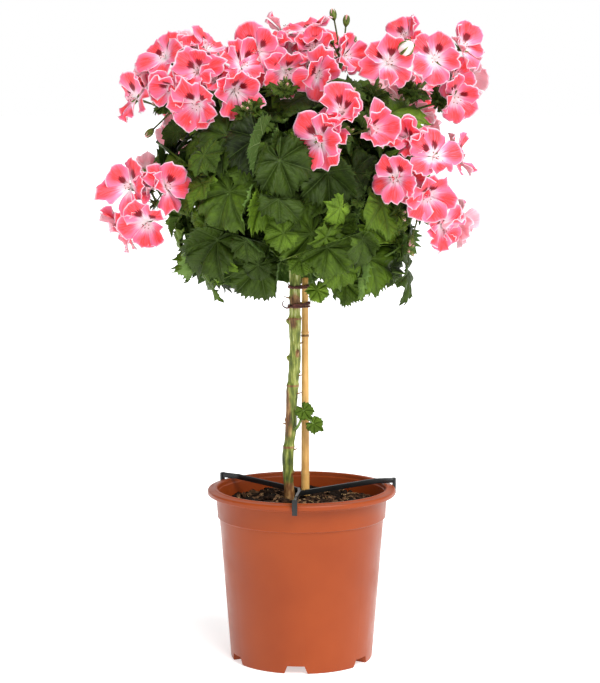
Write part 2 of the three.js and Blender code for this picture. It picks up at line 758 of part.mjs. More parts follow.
function trunkRadius(share) {
  const height = trunkCurve.getPointAt(share).z;
  const above = TRUNK_PLACES.findIndex((place) => place[2] >= height);
  if (above < 1) return TRUNK_RADIUS;
  const [low, high] = [TRUNK_PLACES[above - 1], TRUNK_PLACES[above]];
  const blend = (height - low[2]) / (high[2] - low[2]);
  return TRUNK_RADIUS * (low[3] + (high[3] - low[3]) * blend);
}

function trunkSolid() {
  const knuckle = new THREE.IcosahedronGeometry(KNUCKLE_RADIUS, 0);
  const parts = [
    limb(trunkCurve, trunkRadius, TRUNK_SIDES, TRUNK_STEPS),
    solidOf(knuckle.translate(CROWN.x, CROWN.y, CROWN.z)),
  ];
  for (const direction of directions) {
    const end = CROWN.clone().addScaledVector(direction, STUB_LENGTH);
    const stub = new THREE.LineCurve3(CROWN.clone().addScaledVector(direction, 5), end);
    parts.push(limb(stub, () => STUB_RADIUS, 3, 1));
  }
  return joined(parts);
}

function caneSolid(grow, from) {
  const length = CANE_TOP.z - CANE_FOOT.z;
  const curve = new THREE.LineCurve3(CANE_FOOT.clone().lerp(CANE_TOP, from), CANE_TOP);
  const radiusAt = (share) => {
    const height = CANE_FOOT.z + length * (from + (1 - from) * share);
    const taper = CANE_FOOT_RADIUS + ((CANE_TOP_RADIUS - CANE_FOOT_RADIUS) * (height - CANE_FOOT.z)) / length;
    const atNode = CANE_NODES.some((node) => Math.abs(node - height) < length / (2 * CANE_STEPS));
    return taper + grow + (atNode ? CANE_NODE_SWELL : 0);
  };
  return limb(curve, radiusAt, CANE_SIDES, CANE_STEPS);
}

// The hole that the trunk stands in, wide enough all the way down
function trunkHole() {
  const low = TRUNK_PLACES[0][2] - 2 * GAP;
  const hole = new THREE.CylinderGeometry(1, 1, 80, 10).rotateX(Math.PI / 2);
  hole.scale(TRUNK_RADIUS * 1.2 + GAP, TRUNK_RADIUS * 1.2 + GAP, 1);
  hole.translate(-11, -3, low + 40);
  return solidOf(hole);
}

// Brace

// An upright strip from one point to another
function strip(from, to, extra) {
  const along = to.clone().sub(from);
  const box = new THREE.BoxGeometry(along.length() + extra, BRACE_THICK, BRACE_TALL);
  const pitch = Math.asin(along.z / along.length());
  box.rotateY(-pitch).rotateZ(Math.atan2(along.y, along.x));
  const middle = from.clone().lerp(to, 0.5);
  return solidOf(box.translate(middle.x, middle.y, middle.z));
}

function braceSolid() {
  const hub = new THREE.Vector3(...BRACE_HUB, BRACE_HEIGHT);
  const pass = new THREE.Vector3(-3.2, 8, BRACE_HEIGHT);
  const over = POT_HEIGHT + GAP + BRACE_TALL / 2;
  const parts = [];
  BRACE_ANGLES.forEach((angle, i) => {
    const out = new THREE.Vector3(Math.cos(degrees(angle)), Math.sin(degrees(angle)), 0);
    const inner = out.clone().multiplyScalar(COLLAR_FOOT_RADIUS - 8).setZ(over);
    const outer = out.clone().multiplyScalar(RIM_RADIUS + GAP + BRACE_THICK / 2).setZ(over);
    const hook = outer.clone().setZ(POT_HEIGHT - BRACE_HOOK);
    const start = i === 2 ? pass : hub;
    parts.push(strip(start, inner, 2));
    parts.push(strip(inner, outer, BRACE_THICK));
    const drop = new THREE.BoxGeometry(BRACE_THICK, BRACE_TALL, over + BRACE_TALL / 2 - hook.z);
    drop.rotateZ(degrees(angle)).translate(outer.x, outer.y, (over + BRACE_TALL / 2 + hook.z) / 2);
    parts.push(solidOf(drop));
  });
  parts.push(strip(hub, pass, BRACE_THICK));
  return joined(parts);
}

// Ties

// A loop round trunk and cane at one height, with round ends
function tieLoop(height) {
  const trunk = trunkCurve.getPointAt(trunkShare(height));
  const cane = CANE_FOOT.clone().lerp(CANE_TOP, (height - CANE_FOOT.z) / (CANE_TOP.z - CANE_FOOT.z));
  const across = cane.clone().sub(trunk).setZ(0);
  const inner = TRUNK_RADIUS * 1.1 + GAP;
  const outline = (radius, Kind) => {
    const loop = new Kind();
    loop.absarc(0, 0, radius, Math.PI / 2, (3 * Math.PI) / 2, false);
    loop.absarc(across.length(), 0, radius, -Math.PI / 2, Math.PI / 2, false);
    loop.closePath();
    return loop;
  };
  const ring = outline(inner + TIE_WIDTH, THREE.Shape);
  ring.holes.push(outline(inner, THREE.Path));
  const loop = new THREE.ExtrudeGeometry(ring, { depth: TIE_TALL, bevelEnabled: false, curveSegments: 3 });
  loop.rotateZ(Math.atan2(across.y, across.x)).translate(trunk.x, trunk.y, height - TIE_TALL / 2);
  return solidOf(loop);
}

function trunkShare(height) {
  let share = 0;
  while (trunkCurve.getPointAt(share).z < height && share < 0.995) share += 0.005;
  return share;
}

// The lower tie's loose end curls away to the left and up
function tieTail(height) {
  const curl = new THREE.CatmullRomCurve3([
    new THREE.Vector3(-10, -10.5, height), new THREE.Vector3(-14.5, -10, height - 2.5),
    new THREE.Vector3(-18.4, -8.5, height - 0.5), new THREE.Vector3(-19.4, -8, height + 3),
    new THREE.Vector3(-17.4, -8, height + 5),
  ]);
  return limb(curl, (share) => 0.9 - 0.4 * share, 4, 7);
}

// Side shoot, half way up the trunk

function sideShoot() {
  const height = 234;
  const trunk = trunkCurve.getPointAt(trunkShare(height));
  const out = new THREE.Vector3(0.66, -0.75, 0);
  const from = trunk.clone().addScaledVector(out, TRUNK_RADIUS * 1.12 + GAP);
  const fork = new THREE.Vector3(0, -11, 246);
  const upper = new THREE.Vector3(2, -11, 254);
  const lower = new THREE.Vector3(12, -11, 240);
  const bend = from.clone().addScaledVector(out, 4);
  const parts = [limb(arc(from, bend, fork), () => 1.3, 4, 2)];
  parts.push(limb(arc(fork.clone(), fork.clone(), upper), () => 0.9, 3, 1));
  parts.push(limb(arc(fork.clone(), new THREE.Vector3(6, -11, 247), lower), () => 0.9, 3, 2));
  const facing = new THREE.Vector3(-0.1, -0.85, 0.5).normalize();
  const place = (root, tip, index) => {
    const spec = leafSpec(root, tip, index);
    spec.upper = facing.clone().addScaledVector(spec.along, -facing.dot(spec.along)).normalize();
    return leafOf(spec, []).face;
  };
  parts.push(place(upper, new THREE.Vector3(9, -14, 244), 1));
  parts.push(place(lower, new THREE.Vector3(22, -14, 234), 2));
  return joined(parts);
}

// The plant, put together

const POT_COLOUR = '#b4512d';
const SOIL_COLOUR = '#2d221b';
const BARK_COLOUR = '#8a8a44';
const CANE_COLOUR = '#c39a5a';
const BRACE_COLOUR = '#16191a';
const TIE_COLOUR = '#3a1f1a';
const LEAF_COLOUR = '#41631f';
const BLOOM_COLOUR = '#f4727f';

addPiece('pot', geometryOf(potSolid()), POT_COLOUR, 0.45);
const holes = trunkHole().add(caneSolid(GAP, 0).translate([0, 0, -GAP]));
const stood = holes.add(caneSolid(GAP, 0));
addPiece('soil', geometryOf(soilSolid().subtract(stood)), SOIL_COLOUR, 0.95);
addPiece('trunk', geometryOf(trunkSolid()), BARK_COLOUR, 0.7);
addPiece('cane', geometryOf(caneSolid(0, 0)), CANE_COLOUR, 0.6);
addPiece('stem_brace', geometryOf(braceSolid()), BRACE_COLOUR, 0.4);
addPiece('lower_tie', geometryOf(tieLoop(TIE_HEIGHTS[0]).add(tieTail(TIE_HEIGHTS[0]))), TIE_COLOUR, 0.6);
addPiece('upper_tie', geometryOf(tieLoop(TIE_HEIGHTS[1])), TIE_COLOUR, 0.6);
addPiece('side_shoot', geometryOf(sideShoot()), LEAF_COLOUR, 0.55);

STEMS.forEach((stem, i) => {
  addPiece(`leafy_stem_${i + 1}`, geometryOf(main(leafyStem(i))), LEAF_COLOUR, 0.55);
  if (stem.umbels.length === 0) return;
  const bodies = flowerHead(i).decompose();
  bodies.forEach((body, k) => {
    const name = k === 0 ? `flower_head_${i + 1}` : `flower_head_${i + 1}_bloom_${k}`;
    addPiece(name, geometryOf(body), BLOOM_COLOUR, 0.6);
  });
});

export default plant;
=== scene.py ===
"""A regal geranium grown as a standard, in a terracotta-coloured pot: the looks round the
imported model."""
import math

import bpy
import numpy as np
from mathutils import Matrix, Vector, noise
from mathutils.bvhtree import BVHTree
from mathutils.kdtree import KDTree


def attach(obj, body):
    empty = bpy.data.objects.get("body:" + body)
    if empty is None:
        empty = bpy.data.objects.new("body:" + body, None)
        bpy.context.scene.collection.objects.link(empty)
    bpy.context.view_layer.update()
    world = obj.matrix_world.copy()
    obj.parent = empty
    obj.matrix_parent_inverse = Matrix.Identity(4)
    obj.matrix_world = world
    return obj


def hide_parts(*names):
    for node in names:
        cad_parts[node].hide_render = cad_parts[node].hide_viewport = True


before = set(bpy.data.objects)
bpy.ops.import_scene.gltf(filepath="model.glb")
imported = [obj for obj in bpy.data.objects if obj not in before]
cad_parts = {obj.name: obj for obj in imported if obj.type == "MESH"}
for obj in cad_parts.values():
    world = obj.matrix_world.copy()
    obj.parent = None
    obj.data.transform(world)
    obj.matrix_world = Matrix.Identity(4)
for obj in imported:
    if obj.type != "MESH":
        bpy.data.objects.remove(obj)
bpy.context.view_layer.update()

# Lengths are in millimetres until a mesh is made. Corners nearer than SAME_PLACE are one.
MM = 0.001
SAME_PLACE = 0.01

# Camera, set back from the plant as far as the photograph's pot rim and foot ask
CAMERA_PLACE = (-1.6, -1954, 548)
CAMERA_TILT = 6.6
CAMERA_LENS = 103.4

# Studio light: the backdrop's brightness near the horizon, above it and at the left, the floor's
# radius and glow, and soft lamps by their direction, width in degrees and strength
HORIZON_LIGHT = 1.0
SKY_LIGHT = 0.6
LEFT_LIGHT = 0.12
FLOOR_REACH = 400_000
FLOOR_GLOW = 0.55
LAMPS = {"key": ((0.6, -0.85, 1.3), 42, 3.3), "fill": ((-0.5, -1.0, 0.5), 60, 0.3)}

# Pot, the same as the solid has, with round edges. Channels are cut in from beyond its foot.
POT_SIDES = 112
POT_HEIGHT = 174.2
POT_WALL = 1.6
RIM_RADIUS = 95
LIP_HEIGHT = 6
COLLAR_TOP_RADIUS = 86.5
COLLAR_FOOT_RADIUS = 85
SHOULDER_HEIGHT = 144
SHOULDER_STEP = 2
BODY_TOP_RADIUS = 83
BODY_FOOT_RADIUS = 71.8
EDGE = 1
EDGE_ROUNDING = 0.45
CHANNEL_COUNT = 6
CHANNEL_FIRST_ANGLE = 265.5
CHANNEL_TURNS = [CHANNEL_FIRST_ANGLE + i * 360 / CHANNEL_COUNT for i in range(CHANNEL_COUNT)]
CHANNEL_HEIGHT = 8
CHANNEL_FOOT_WIDTH = 24
CHANNEL_TOP_WIDTH = 17
CHANNEL_START = 38
CHANNEL_END = BODY_FOOT_RADIUS + 8
DRAIN_LENGTH = 14
DRAIN_WIDTH = 6
DRAIN_HEIGHT = 6
DRAIN_PLACE = 54

# Soil: its bed, mounded in the middle, and the crumbs and coir that lie loose on it
SOIL_SIDES = 96
SOIL_RINGS = 26
SOIL_HEIGHT = 156.5
SOIL_EASE = 0.5
SOIL_MOUND = 5
MOUND_REACH = 80
SOIL_RELIEF = 1.6
CLOD_RELIEF = 2.6
CLOD_SIZE = 9
LUMP_SIZE = 4
LOOSE_REACH = 79
TRUNK_ROOM = 7
CANE_ROOM = 6
HOLE_RADIUS = 6.24
HOLE_SIDES = 24
CRUMBS = 1050
CRUMB_SIZE = 0.7
CRUMB_SPREAD = 2.6
PALE_PLACE = (12, -14)
PALE_REACH = 34
FIBRES = 150
FIBRE_REACH = 77
FIBRE_LENGTH = 5
FIBRE_SPREAD = 13

# Trunk: places up its middle, each with its share of the radius; the wide ones are old leaf nodes
TRUNK_RADIUS = 5.2
TRUNK_PLACES = [
    [-11, -3, 110, 1], [-10.6, -3, 152, 1.08], [-13.6, -3, 182, 0.98], [-14, -3, 207, 1.16],
    [-12.4, -3, 220, 0.98], [-10.5, -3, 236, 1.1], [-10.2, -3.4, 256, 0.96],
    [-9.6, -3.8, 273, 1.16], [-8, -4, 286, 0.98], [-6.8, -4, 305, 1.12], [-6.4, -4, 322, 0.96],
    [-6.8, -4, 341, 1.2], [-6.8, -3.6, 355, 1], [-6.4, -1.6, 384, 1.04], [-6, 0, 404, 1.25],
    [-6, 0, 410, 1.3],
]
TRUNK_SIDES = 28
TRUNK_STEP = 1.5
TRUNK_GRAIN = 0.95
# How much the trunk widens to its foot, from which height and over which length, and the same
# upwards; and its ribs and lumps, by their depth and size
FOOT_FLARE = (1.6, 168, 18)
TOP_SWELL = (0.35, 200, 60)
RIBS = (0.5, 26)
BARK_LUMPS = (0.3, 5)
# Ring scars: their heights, how far they stand out, and the narrow neck above each one
RING_SCARS = [216, 278.5, 346]
SCAR_RISE = 0.75
SCAR_WIDTH = 1.4
NECK_DEPTH = 0.35
NECK_WIDTH = 2.0
NECK_RISE = 4
# Browned bark: height, direction in degrees from +X, how far it reaches up and down and round in
# degrees, and how brown it is
BROWNED = [
    [158, 270, 24, 200, 1.0], [188, -20, 5, 40, 0.7], [215.4, 270, 1.3, 200, 1.0],
    [247, 222, 24, 50, 0.9], [236, 262, 12, 40, 0.6], [268, 215, 14, 34, 0.7], [278, 270, 1.2, 200, 0.95],
    [311, -62, 4.0, 26, 1.0], [302, 200, 4, 22, 0.6], [341, 250, 7, 60, 0.7],
    [345.4, 270, 1.2, 200, 0.95], [363, 270, 8, 90, 0.95], [290, 15, 18, 30, 0.4],
]
# Old buds and leaf bases on the trunk: height, direction in degrees from +X, and size
KNOBS = [
    [190, -20, 2.2], [243, 195, 1.9], [266, -30, 1.5], [292, -12, 1.8], [306, 200, 3.4],
    [313, -62, 2.4], [343, 190, 3.3], [349, 60, 2.0], [223, 80, 2.0], [366, 170, 1.8],
]
KNOB_RADII = [1.1, 1.05, 0.75, 0.3]
# Dry stipules, pointed scales that stand off the trunk: height, direction and length
STIPULE_RADII = [1.0, 0.9, 0.75, 0.55, 0.35, 0.08]
STIPULES = [[270, -28, 6.5], [288, -24, 4.5], [239, 190, 4], [366, 196, 8], [320, 30, 5], [212, 20, 5]]

# The knuckle at the trunk's top, as rings, and the stubs that carry the leafy stems
KNUCKLE_HEIGHTS = [-9, -8.3, -6, -3, 0, 3, 6, 8.3, 9]
KNUCKLE_RADII = [0.8, 3.6, 6.6, 8.4, 8.9, 8.4, 6.6, 3.6, 0.8]
STUB_START = 5
STUB_REACH = 8.4
STUB_RADII = [3.2, 2.8, 2.6, 2.7, 2.75]

# Cane, with its nodes: their heights, how stained and how swollen each one is, and how much is
# added to the radius at each height from a node's middle
CANE_FOOT = np.array([4.0, 5, 66.5])
CANE_TOP = np.array([3.4, 4, 386])
CANE_FOOT_RADIUS = 4.7
CANE_TOP_RADIUS = 3.2
CANE_NODES = [188, 329]
CANE_STAINS = [0.1, 0.85]
CANE_SWELLS = [0.3, 1]
SWELL_HEIGHTS = [-4, -2.6, -1.6, -0.8, 0, 0.8, 1.6, 2.8, 5]
SWELL_RADII = [0.1, 0.35, 0.75, 0.55, 0.05, 0.5, 0.6, 0.2, 0]
CANE_SIDES = 28

# Ties wound round trunk and cane, each wrap of two strands: the strands' radius, the length of a
# twist, the wraps' spacing in radii, and for each tie its height, its wraps and its loose ends
TIE_STRAND = 0.62
TIE_TWIST = 7
TIE_SPACING = 2.1
TIES = {
    "lower_tie": (358.5, 3, [
        [[-10, -10, 0], [-14.5, -10, -2.5], [-18.4, -8.5, -0.5], [-19.6, -8, 3], [-17.4, -8, 5.4]],
        [[-8, -10.5, 0.5], [-5, -11.5, 2.5], [-1, -11, 1]],
    ]),
    "upper_tie": (377, 2, [[[-9, -6.5, 0], [-12, -8, 1.5], [-14, -8, 4]]]),
}

# Side shoot: where it leaves the trunk, where it forks, which way its leaves face, and for each
# leaf its root, a place on the way there and its tip
SHOOT_HEIGHT = 234
SHOOT_TURN = -48.7
SHOOT_FORK = np.array([0, -11, 246.0])
SHOOT_FACING = [-0.1, -0.85, 0.5]
SHOOT_LEAVES = [
    [[2, -11, 254], [1, -11, 250], [9, -14, 244]], [[12, -11, 240], [6, -11, 247], [22, -14, 234]],
]

# The crown's plan, the same as the solids have. Stems grow from the crown's middle, and leaves
# stand round an egg.
GAP = 0.35
CROWN = np.array([-6.0, 0, 410])
STUB_LENGTH = 13
STEM_RADIUS = 2.6
STALK_RADIUS = 1.8
STEM_BEND = 0.55
BARE_STEM = 0.7
CURVE_COUNT = 201
WALL_PASSES = 4
REACH_STEPS = 24
WALL_MARGIN = 0.05
FOLIAGE = np.array([-8.0, 0, 473])
FOLIAGE_RADII = np.array([113.0, 106, 102])
LEAF_LOBE = math.radians(52)
LOBE_DEPTH = 0.12
LEAF_SPAN = 1.05
LEAF_BEHIND = 0.4
LEAF_AHEAD = 0.65
LEAF_LIFT = 0.35
LEAF_DROOP = 0.1
LEAF_WAVE = 0.05
SIDE_LOSS = 0.4
SINUS_SHARE = 0.25
BLADE_THICK = 0.8
PETIOLE_RADIUS = 1.15
PETIOLE_SAG = 6
PETIOLE_TIP = 0.4
PETIOLE_LENGTHS = (34, 22, 50, 66, 14, 82)
ROOT_MARGIN = 3
KEY_STRETCH = 1.12
KEY_CLEARANCE = 30
GOLDEN_ANGLE = math.pi * (3 - math.sqrt(5))
# Leaves between those that stand out: how many, how far out, their size and its spread, and the
# salt of their chances
OUTER_LEAVES = (38, 1, 34, 12, 1)
INNER_LEAVES = (3, 0.66, 32, 8, 5)
# The ways in which a leaf may be bent clear of the others, in the order they are tried
BEND_SCALES = (1, 0.85, 0.7)
BEND_SWINGS = (0, 9, -9, 18, -18, 30, -30, 45, -45)
BEND_SHIFTS = (0, 5, -5, 10, -10, 15, -15, 20, -20)
# How near a solid's corner has to be to be a leaf's own, and how many of a leaf's have to be there
SAME_CORNER = 0.05
FOUND_SHARE = 0.6
PETAL_LENGTH = 26.5
PETAL_THICK = 0.8
PEDICEL_RADIUS = 0.9
PEDICEL_SWELLS = [1, 0.9, 0.85, 0.85, 0.9, 1.1, 1.45, 1.9]
UMBEL_DEPTH = 5
HUB_MARGIN = 6
DOME_TOP = 34
DOME_RISE = 19
DOME_REACH = 32
BUD_LENGTH = 12
BUD_RADIUS = 3.3

# Leafy stems: the place each one grows towards, with its umbels. An umbel has the places of its
# blooms, or their number, the blooms' sizes where they differ, and the places of its buds.
STEMS = [
    {"toward": [-138, -38, 462], "umbels": [
        {"at": [-143, -28, 462],
         "blooms": [[-164, -58, 478], [-131, -62, 478], [-148, -68, 446], [-172, -34, 440],
                    [-153, -18, 492]],
         "sizes": [1, 1, 1, 1, 0.66]},
    ]},
    {"toward": [-104, -34, 572], "umbels": [
        {"at": [-128, -14, 552], "blooms": [[-160, -34, 563], [-146, 0, 580]],
         "buds": [[-149, -24, 530]]},
        {"at": [-112, 2, 582], "blooms": [[-132, -20, 602], [-94, -14, 611], [-116, 22, 606]]},
        {"at": [-84, -24, 574],
         "blooms": [[-98, -64, 588], [-64, -84, 566], [-98, -82, 553], [-122, -58, 574],
                    [-58, -52, 594]]},
    ]},
    {"toward": [0, -26, 594], "umbels": [
        {"at": [-29, -8, 594], "blooms": [[-42, -44, 607], [-18, -8, 627], [-16, -52, 590]]},
        {"at": [16, -16, 598], "blooms": [[16, -62, 588], [8, -22, 627], [40, -50, 604]]},
        {"at": [40, -2, 600], "blooms": [],
         "buds": [[31, 0, 646], [44, 0, 640], [28, -4, 622], [50, -10, 620]]},
    ]},
    {"toward": [104, -20, 586], "umbels": [
        {"at": [76, -30, 588], "blooms": [[76, -72, 595]], "buds": [[101, -50, 612]],
         "half_open": [[99.5, -72, 611]]},
        {"at": [127, 12, 584],
         "blooms": [[103, -12, 621], [128, -38, 600], [155, -14, 612], [148, -26, 566],
                    [162, 24, 590]]},
    ]},
    {"toward": [38, -74, 522], "umbels": [
        {"at": [38, -62, 526], "blooms": [[17, -106, 522], [38, -98, 548], [64, -92, 534]]},
    ]},
    {"toward": [112, -48, 478], "umbels": [
        {"at": [110, -44, 494],
         "blooms": [[100, -78, 524], [124, -88, 508], [90, -92, 489], [118, -86, 474],
                    [146, -46, 506]]},
        {"at": [114, -36, 450], "blooms": [[134, -60, 442], [150, -26, 442]],
         "buds": [[106, -52, 426]]},
    ]},
    {"toward": [-98, 70, 542], "umbels": [{"at": [-98, 70, 542], "blooms": 4}]},
    {"toward": [97, 78, 545], "umbels": [{"at": [97, 78, 545], "blooms": 4}]},
    {"toward": [0, 118, 500], "umbels": [{"at": [0, 118, 500], "blooms": 4}]},
    {"toward": [0, 72, 586], "umbels": [{"at": [0, 72, 586], "blooms": 4}]},
    {"toward": [-74, -82, 500], "umbels": []},
    {"toward": [0, -98, 470], "umbels": []},
    {"toward": [-76, -62, 394], "umbels": []},
    {"toward": [26, -82, 384], "umbels": []},
    {"toward": [86, -42, 384], "umbels": []},
    {"toward": [-82, 56, 384], "umbels": []},
    {"toward": [78, 66, 384], "umbels": []},
    {"toward": [-4, 90, 384], "umbels": []},
]

# The leaves that stand out: where the petiole meets the blade, and where its tip is
KEY_LEAVES = [
    [[-40, -62, 402], [-72, -58, 368]], [[-58, -74, 433], [-104, -64, 414]],
    [[10, -90, 436], [-12, -94, 406]], [[20, -90, 434], [46, -92, 400]],
    [[11, -48, 396], [18, -52, 375]], [[43, -40, 384], [62, -44, 366]],
    [[68, -54, 406], [82, -52, 372]], [[88, -36, 412], [99, -30, 368]],
    [[84, -50, 427], [97, -54, 412]], [[-92, -60, 488], [-112, -56, 454]],
    [[-71, -86, 528], [-81, -98, 491]], [[-62, -90, 477], [-85, -90, 435]],
    [[-37, -90, 524], [-38, -104, 489]], [[0, -72, 562], [-32, -90, 545]],
    [[-34, -76, 557], [-12, -98, 534]], [[44, -70, 552], [62, -80, 570]],
    [[86, -50, 550], [122, -46, 550]], [[26, -96, 496], [30, -106, 455]],
    [[50, -88, 498], [82, -88, 490]], [[79, -74, 464], [90, -80, 437]],
    [[-108, -44, 533], [-136, -48, 510]], [[-15, -86, 505], [-4, -100, 460]],
    [[-103, -36, 465], [-120, -36, 431]], [[-58, -40, 444], [-39, -50, 421]],
]

# Leaves drawn smaller than their solid, by their number in the plan
LEAF_SCALES = {0: 0.7, 3: 0.88, 4: 0.52, 5: 0.8, 7: 0.66, 10: 0.85, 11: 0.8, 12: 0.86, 17: 0.82, 21: 0.66}

# Leaves that are brighter or darker in the photograph than chance makes them: their tint is partly their
# own colour and partly painted sunlight and shade on the whole leaf
LEAF_TINTS_AND_PAINTED_LIGHT = {0: 0.45, 1: 0.4, 2: 0.62, 3: 0.6, 4: 0.95, 5: 0.6, 6: 0.7, 17: 0.25, 21: 0.3}

# Tufts of young leaves and pointed bracts, where the photograph shows them
TUFTS = [
    [-96, 10, 594], [-134, -35, 557], [-16, -66, 571], [136, -15, 560], [94, -66, 502],
    [93, -56, 453], [98, -48, 421], [46, -14, 612], [70, -46, 566], [106, -32, 570],
    [-49, -82, 550], [41, -74, 564],
]

# Fine leaf: teeth round the margin, and rings from the petiole to the margin. For each half of
# the leaf, a tooth's corners are shares of its width with how far each one stands out.
TEETH = 46
FILLER_TEETH = 22
YOUNG_TEETH = 20
SHOOT_TEETH = 16
FULL_TOOTH = (((0, 0), (0.45, 0.4), (0.72, 1)), ((0, 0), (0.28, 1), (0.55, 0.4)))
PLAIN_TOOTH = (((0, 0), (0.65, 1.6)), ((0, 0), (0.35, 1.6)))
TOOTH_DEPTH = 0.115
LOBE_FINE_DEPTH = 0.035
SCALLOP_DEPTH = 0.035
SINUS_ANGLE = math.radians(174)
LEAF_RINGS = [0, 0.14, 0.3, 0.46, 0.62, 0.77, 0.9, 1]
FILLER_RINGS = [0, 0.35, 0.68, 0.9, 1]
YOUNG_RINGS = [0, 0.45, 0.85, 1]
LEAF_THICK = 0.55
PLEAT = 0.19
CURL = 0.22
FOLD_START = math.radians(156)
FOLD_WIDTH = math.radians(16)
BLADE_SHARE = 0.94

# Small leaves that fill the crown: how many are tried, how far out they stand as shares of the
# crown's reach, their size and its spread, and how much room each one needs
FILLERS = (210, 0.6, 0.96, 24, 15, 14)
YOUNG = (260, 0.96, 1.07, 15, 12, 15)
SMALL_SHIFTS = (0, 5, -5, 9, -10, 13, -16)
FILLER_RADII = np.array([119.0, 104, 108])
LEAF_ROLL = 1.3
LEAF_CLEARANCE = 14
BLOOM_CLEARANCE = 22
# Places kept free of small leaves, as in the photograph, and how much room each one needs
CLEARINGS = [(np.array([0.0, -34, 392]), 46), (np.array([-128.0, -30, 436]), 36)]

# Fine petal: a sector with a round top. It may lie over its neighbours' room by PETAL_EASE.
PETAL_COUNT = 5
PETAL_COLUMNS = 12
PETAL_ROWS = 8
PETAL_HALF_WIDTH = math.radians(40)
PETAL_PITCH = 0.9
PETAL_ROLL = 0.5
FINE_PETAL_THICK = 0.4
PETAL_EASE = 15
HALF_OPEN_SHARE = 0.84
STAMENS = 5
SEPALS = 5


# Small helpers

def vec(numbers):
    return np.array(numbers, float)


def unit(v):
    return v / np.linalg.norm(v, axis=-1, keepdims=True)


def chance(index, salt):
    """An even-looking number from 0 to 1 that is always the same for the same two inputs."""
    wave = math.sin(index * 12.9898 + salt * 78.233) * 43758.5453
    return wave - math.floor(wave)


def turned(v, axis, angle):
    """Rows of v turned about a unit axis."""
    v = np.asarray(v, float)
    along = (v @ axis)[..., None] * axis
    return v * math.cos(angle) + np.cross(axis, v) * math.sin(angle) + along * (1 - math.cos(angle))


def lerp(a, b, t):
    return a + (b - a) * t


def smooth(t):
    t = np.clip(t, 0, 1)
    return t * t * (3 - 2 * t)


def run_along(line):
    """How far along a line each of its places is."""
    return np.concatenate([[0], np.cumsum(np.linalg.norm(np.diff(line, axis=0), axis=1))])


def spaced(fine, count):
    """A number of places spaced evenly along a line of many."""
    run = run_along(fine)
    at = np.linspace(0, run[-1], count)
    return np.stack([np.interp(at, run, fine[:, k]) for k in range(3)], axis=1)


def arc(start, bend, end, count):
    """Places spaced evenly along a curve from one point to another."""
    t = np.linspace(0, 1, CURVE_COUNT)[:, None]
    return spaced((1 - t) ** 2 * start + 2 * t * (1 - t) * bend + t ** 2 * end, count)


def smooth_line(places):
    """A line through a few places with its corners rounded off."""
    for _ in range(4):
        ends = places[:1], places[-1:]
        cuts = np.stack([lerp(places[:-1], places[1:], 0.25), lerp(places[:-1], places[1:], 0.75)], 1)
        places = np.concatenate([ends[0], cuts.reshape(-1, 3), ends[1]])
    return places


# The room of each stem: its own cone round its direction from the crown's middle

DIRECTIONS = unit(vec([stem["toward"] for stem in STEMS]) - CROWN)
DOWN = vec([0, 0, -1])


def walls_of(index, ease=0):
    own = DIRECTIONS[index]
    others = np.vstack([np.delete(DIRECTIONS, index, axis=0), DOWN])
    normals = unit(others - own)
    return [(normal, normal @ CROWN - GAP / 2 + ease) for normal in normals]


def stem_at(point):
    return int(np.argmax(DIRECTIONS @ unit(point - CROWN)))


def umbel_wall(umbel, outward):
    """The flat wall between an umbel's blooms and the leaves under it."""
    at = vec(umbel["at"])
    normal = unit(at - FOLIAGE)
    if umbel["blooms"] and isinstance(umbel["blooms"], list):
        normal = unit(normal + unit(vec(umbel["blooms"]).mean(axis=0) - at))
    limit = normal @ at - UMBEL_DEPTH
    return (-normal, -limit - GAP) if outward else (normal, limit)


def push_inside(points, walls, margin):
    points = np.array(points, float)
    for _ in range(WALL_PASSES):
        for normal, limit in walls:
            over = points @ normal - limit + margin
            points -= np.maximum(over, 0)[..., None] * normal
    return points


def reach(start, targets, upper, walls, margin):
    """Goes from one point towards each target in steps. At a wall it turns along the wall and
    towards the blade's upper face, so that a blade bends there and keeps its length."""
    here = np.repeat(start[None], len(targets), 0)
    heading = targets - start
    length = np.maximum(np.linalg.norm(heading, axis=1), 1e-9)[:, None]
    heading = heading / length
    normals = np.array([normal for normal, _ in walls]).reshape(-1, 3)
    limits = np.array([limit for _, limit in walls])
    for _ in range(REACH_STEPS):
        here = here + heading * length / REACH_STEPS
        if not (here @ normals.T - limits + margin > 0).any():
            continue
        for normal, limit in walls:
            over = (here @ normal - limit + margin)[:, None]
            if not (over > 0).any():
                continue
            into = (heading @ normal)[:, None]
            along = upper - (upper @ normal) * normal
            swung = heading - into * normal + into * along
            swung = swung / np.maximum(np.linalg.norm(swung, axis=1), 1e-9)[:, None]
            heading = np.where((over > 0) & (into > 0), swung, heading)
            here = here - np.maximum(over, 0) * normal
    return push_inside(here, walls, margin)


# The plan of the leaves

def leaf_outline(angle):
    """How far the margin is from the petiole, as a share of the leaf's length."""
    turn = np.abs(angle) / math.pi
    lobes = 1 + LOBE_DEPTH * np.cos(np.abs(angle) / LEAF_LOBE * 2 * math.pi)
    return (1 - SIDE_LOSS * turn ** 1.6) * lobes


def leaf_height(share, angle, wave):
    """How far the blade is above its flat, as a share of its length: it droops and waves."""
    return share ** 2 * (LEAF_WAVE * np.sin(3 * angle + wave) - LEAF_DROOP)


# The rim's corners of a solid's leaf, by their direction, and how far out each one is
COARSE_SPREAD = [0, 26, 52, 78, 104, 128, 150, 180]
COARSE_ANGLES = np.radians(COARSE_SPREAD + [-a for a in COARSE_SPREAD[-2:0:-1]])
COARSE_SHARES = leaf_outline(COARSE_ANGLES) * np.where(COARSE_ANGLES > 3.13, SINUS_SHARE, 1)


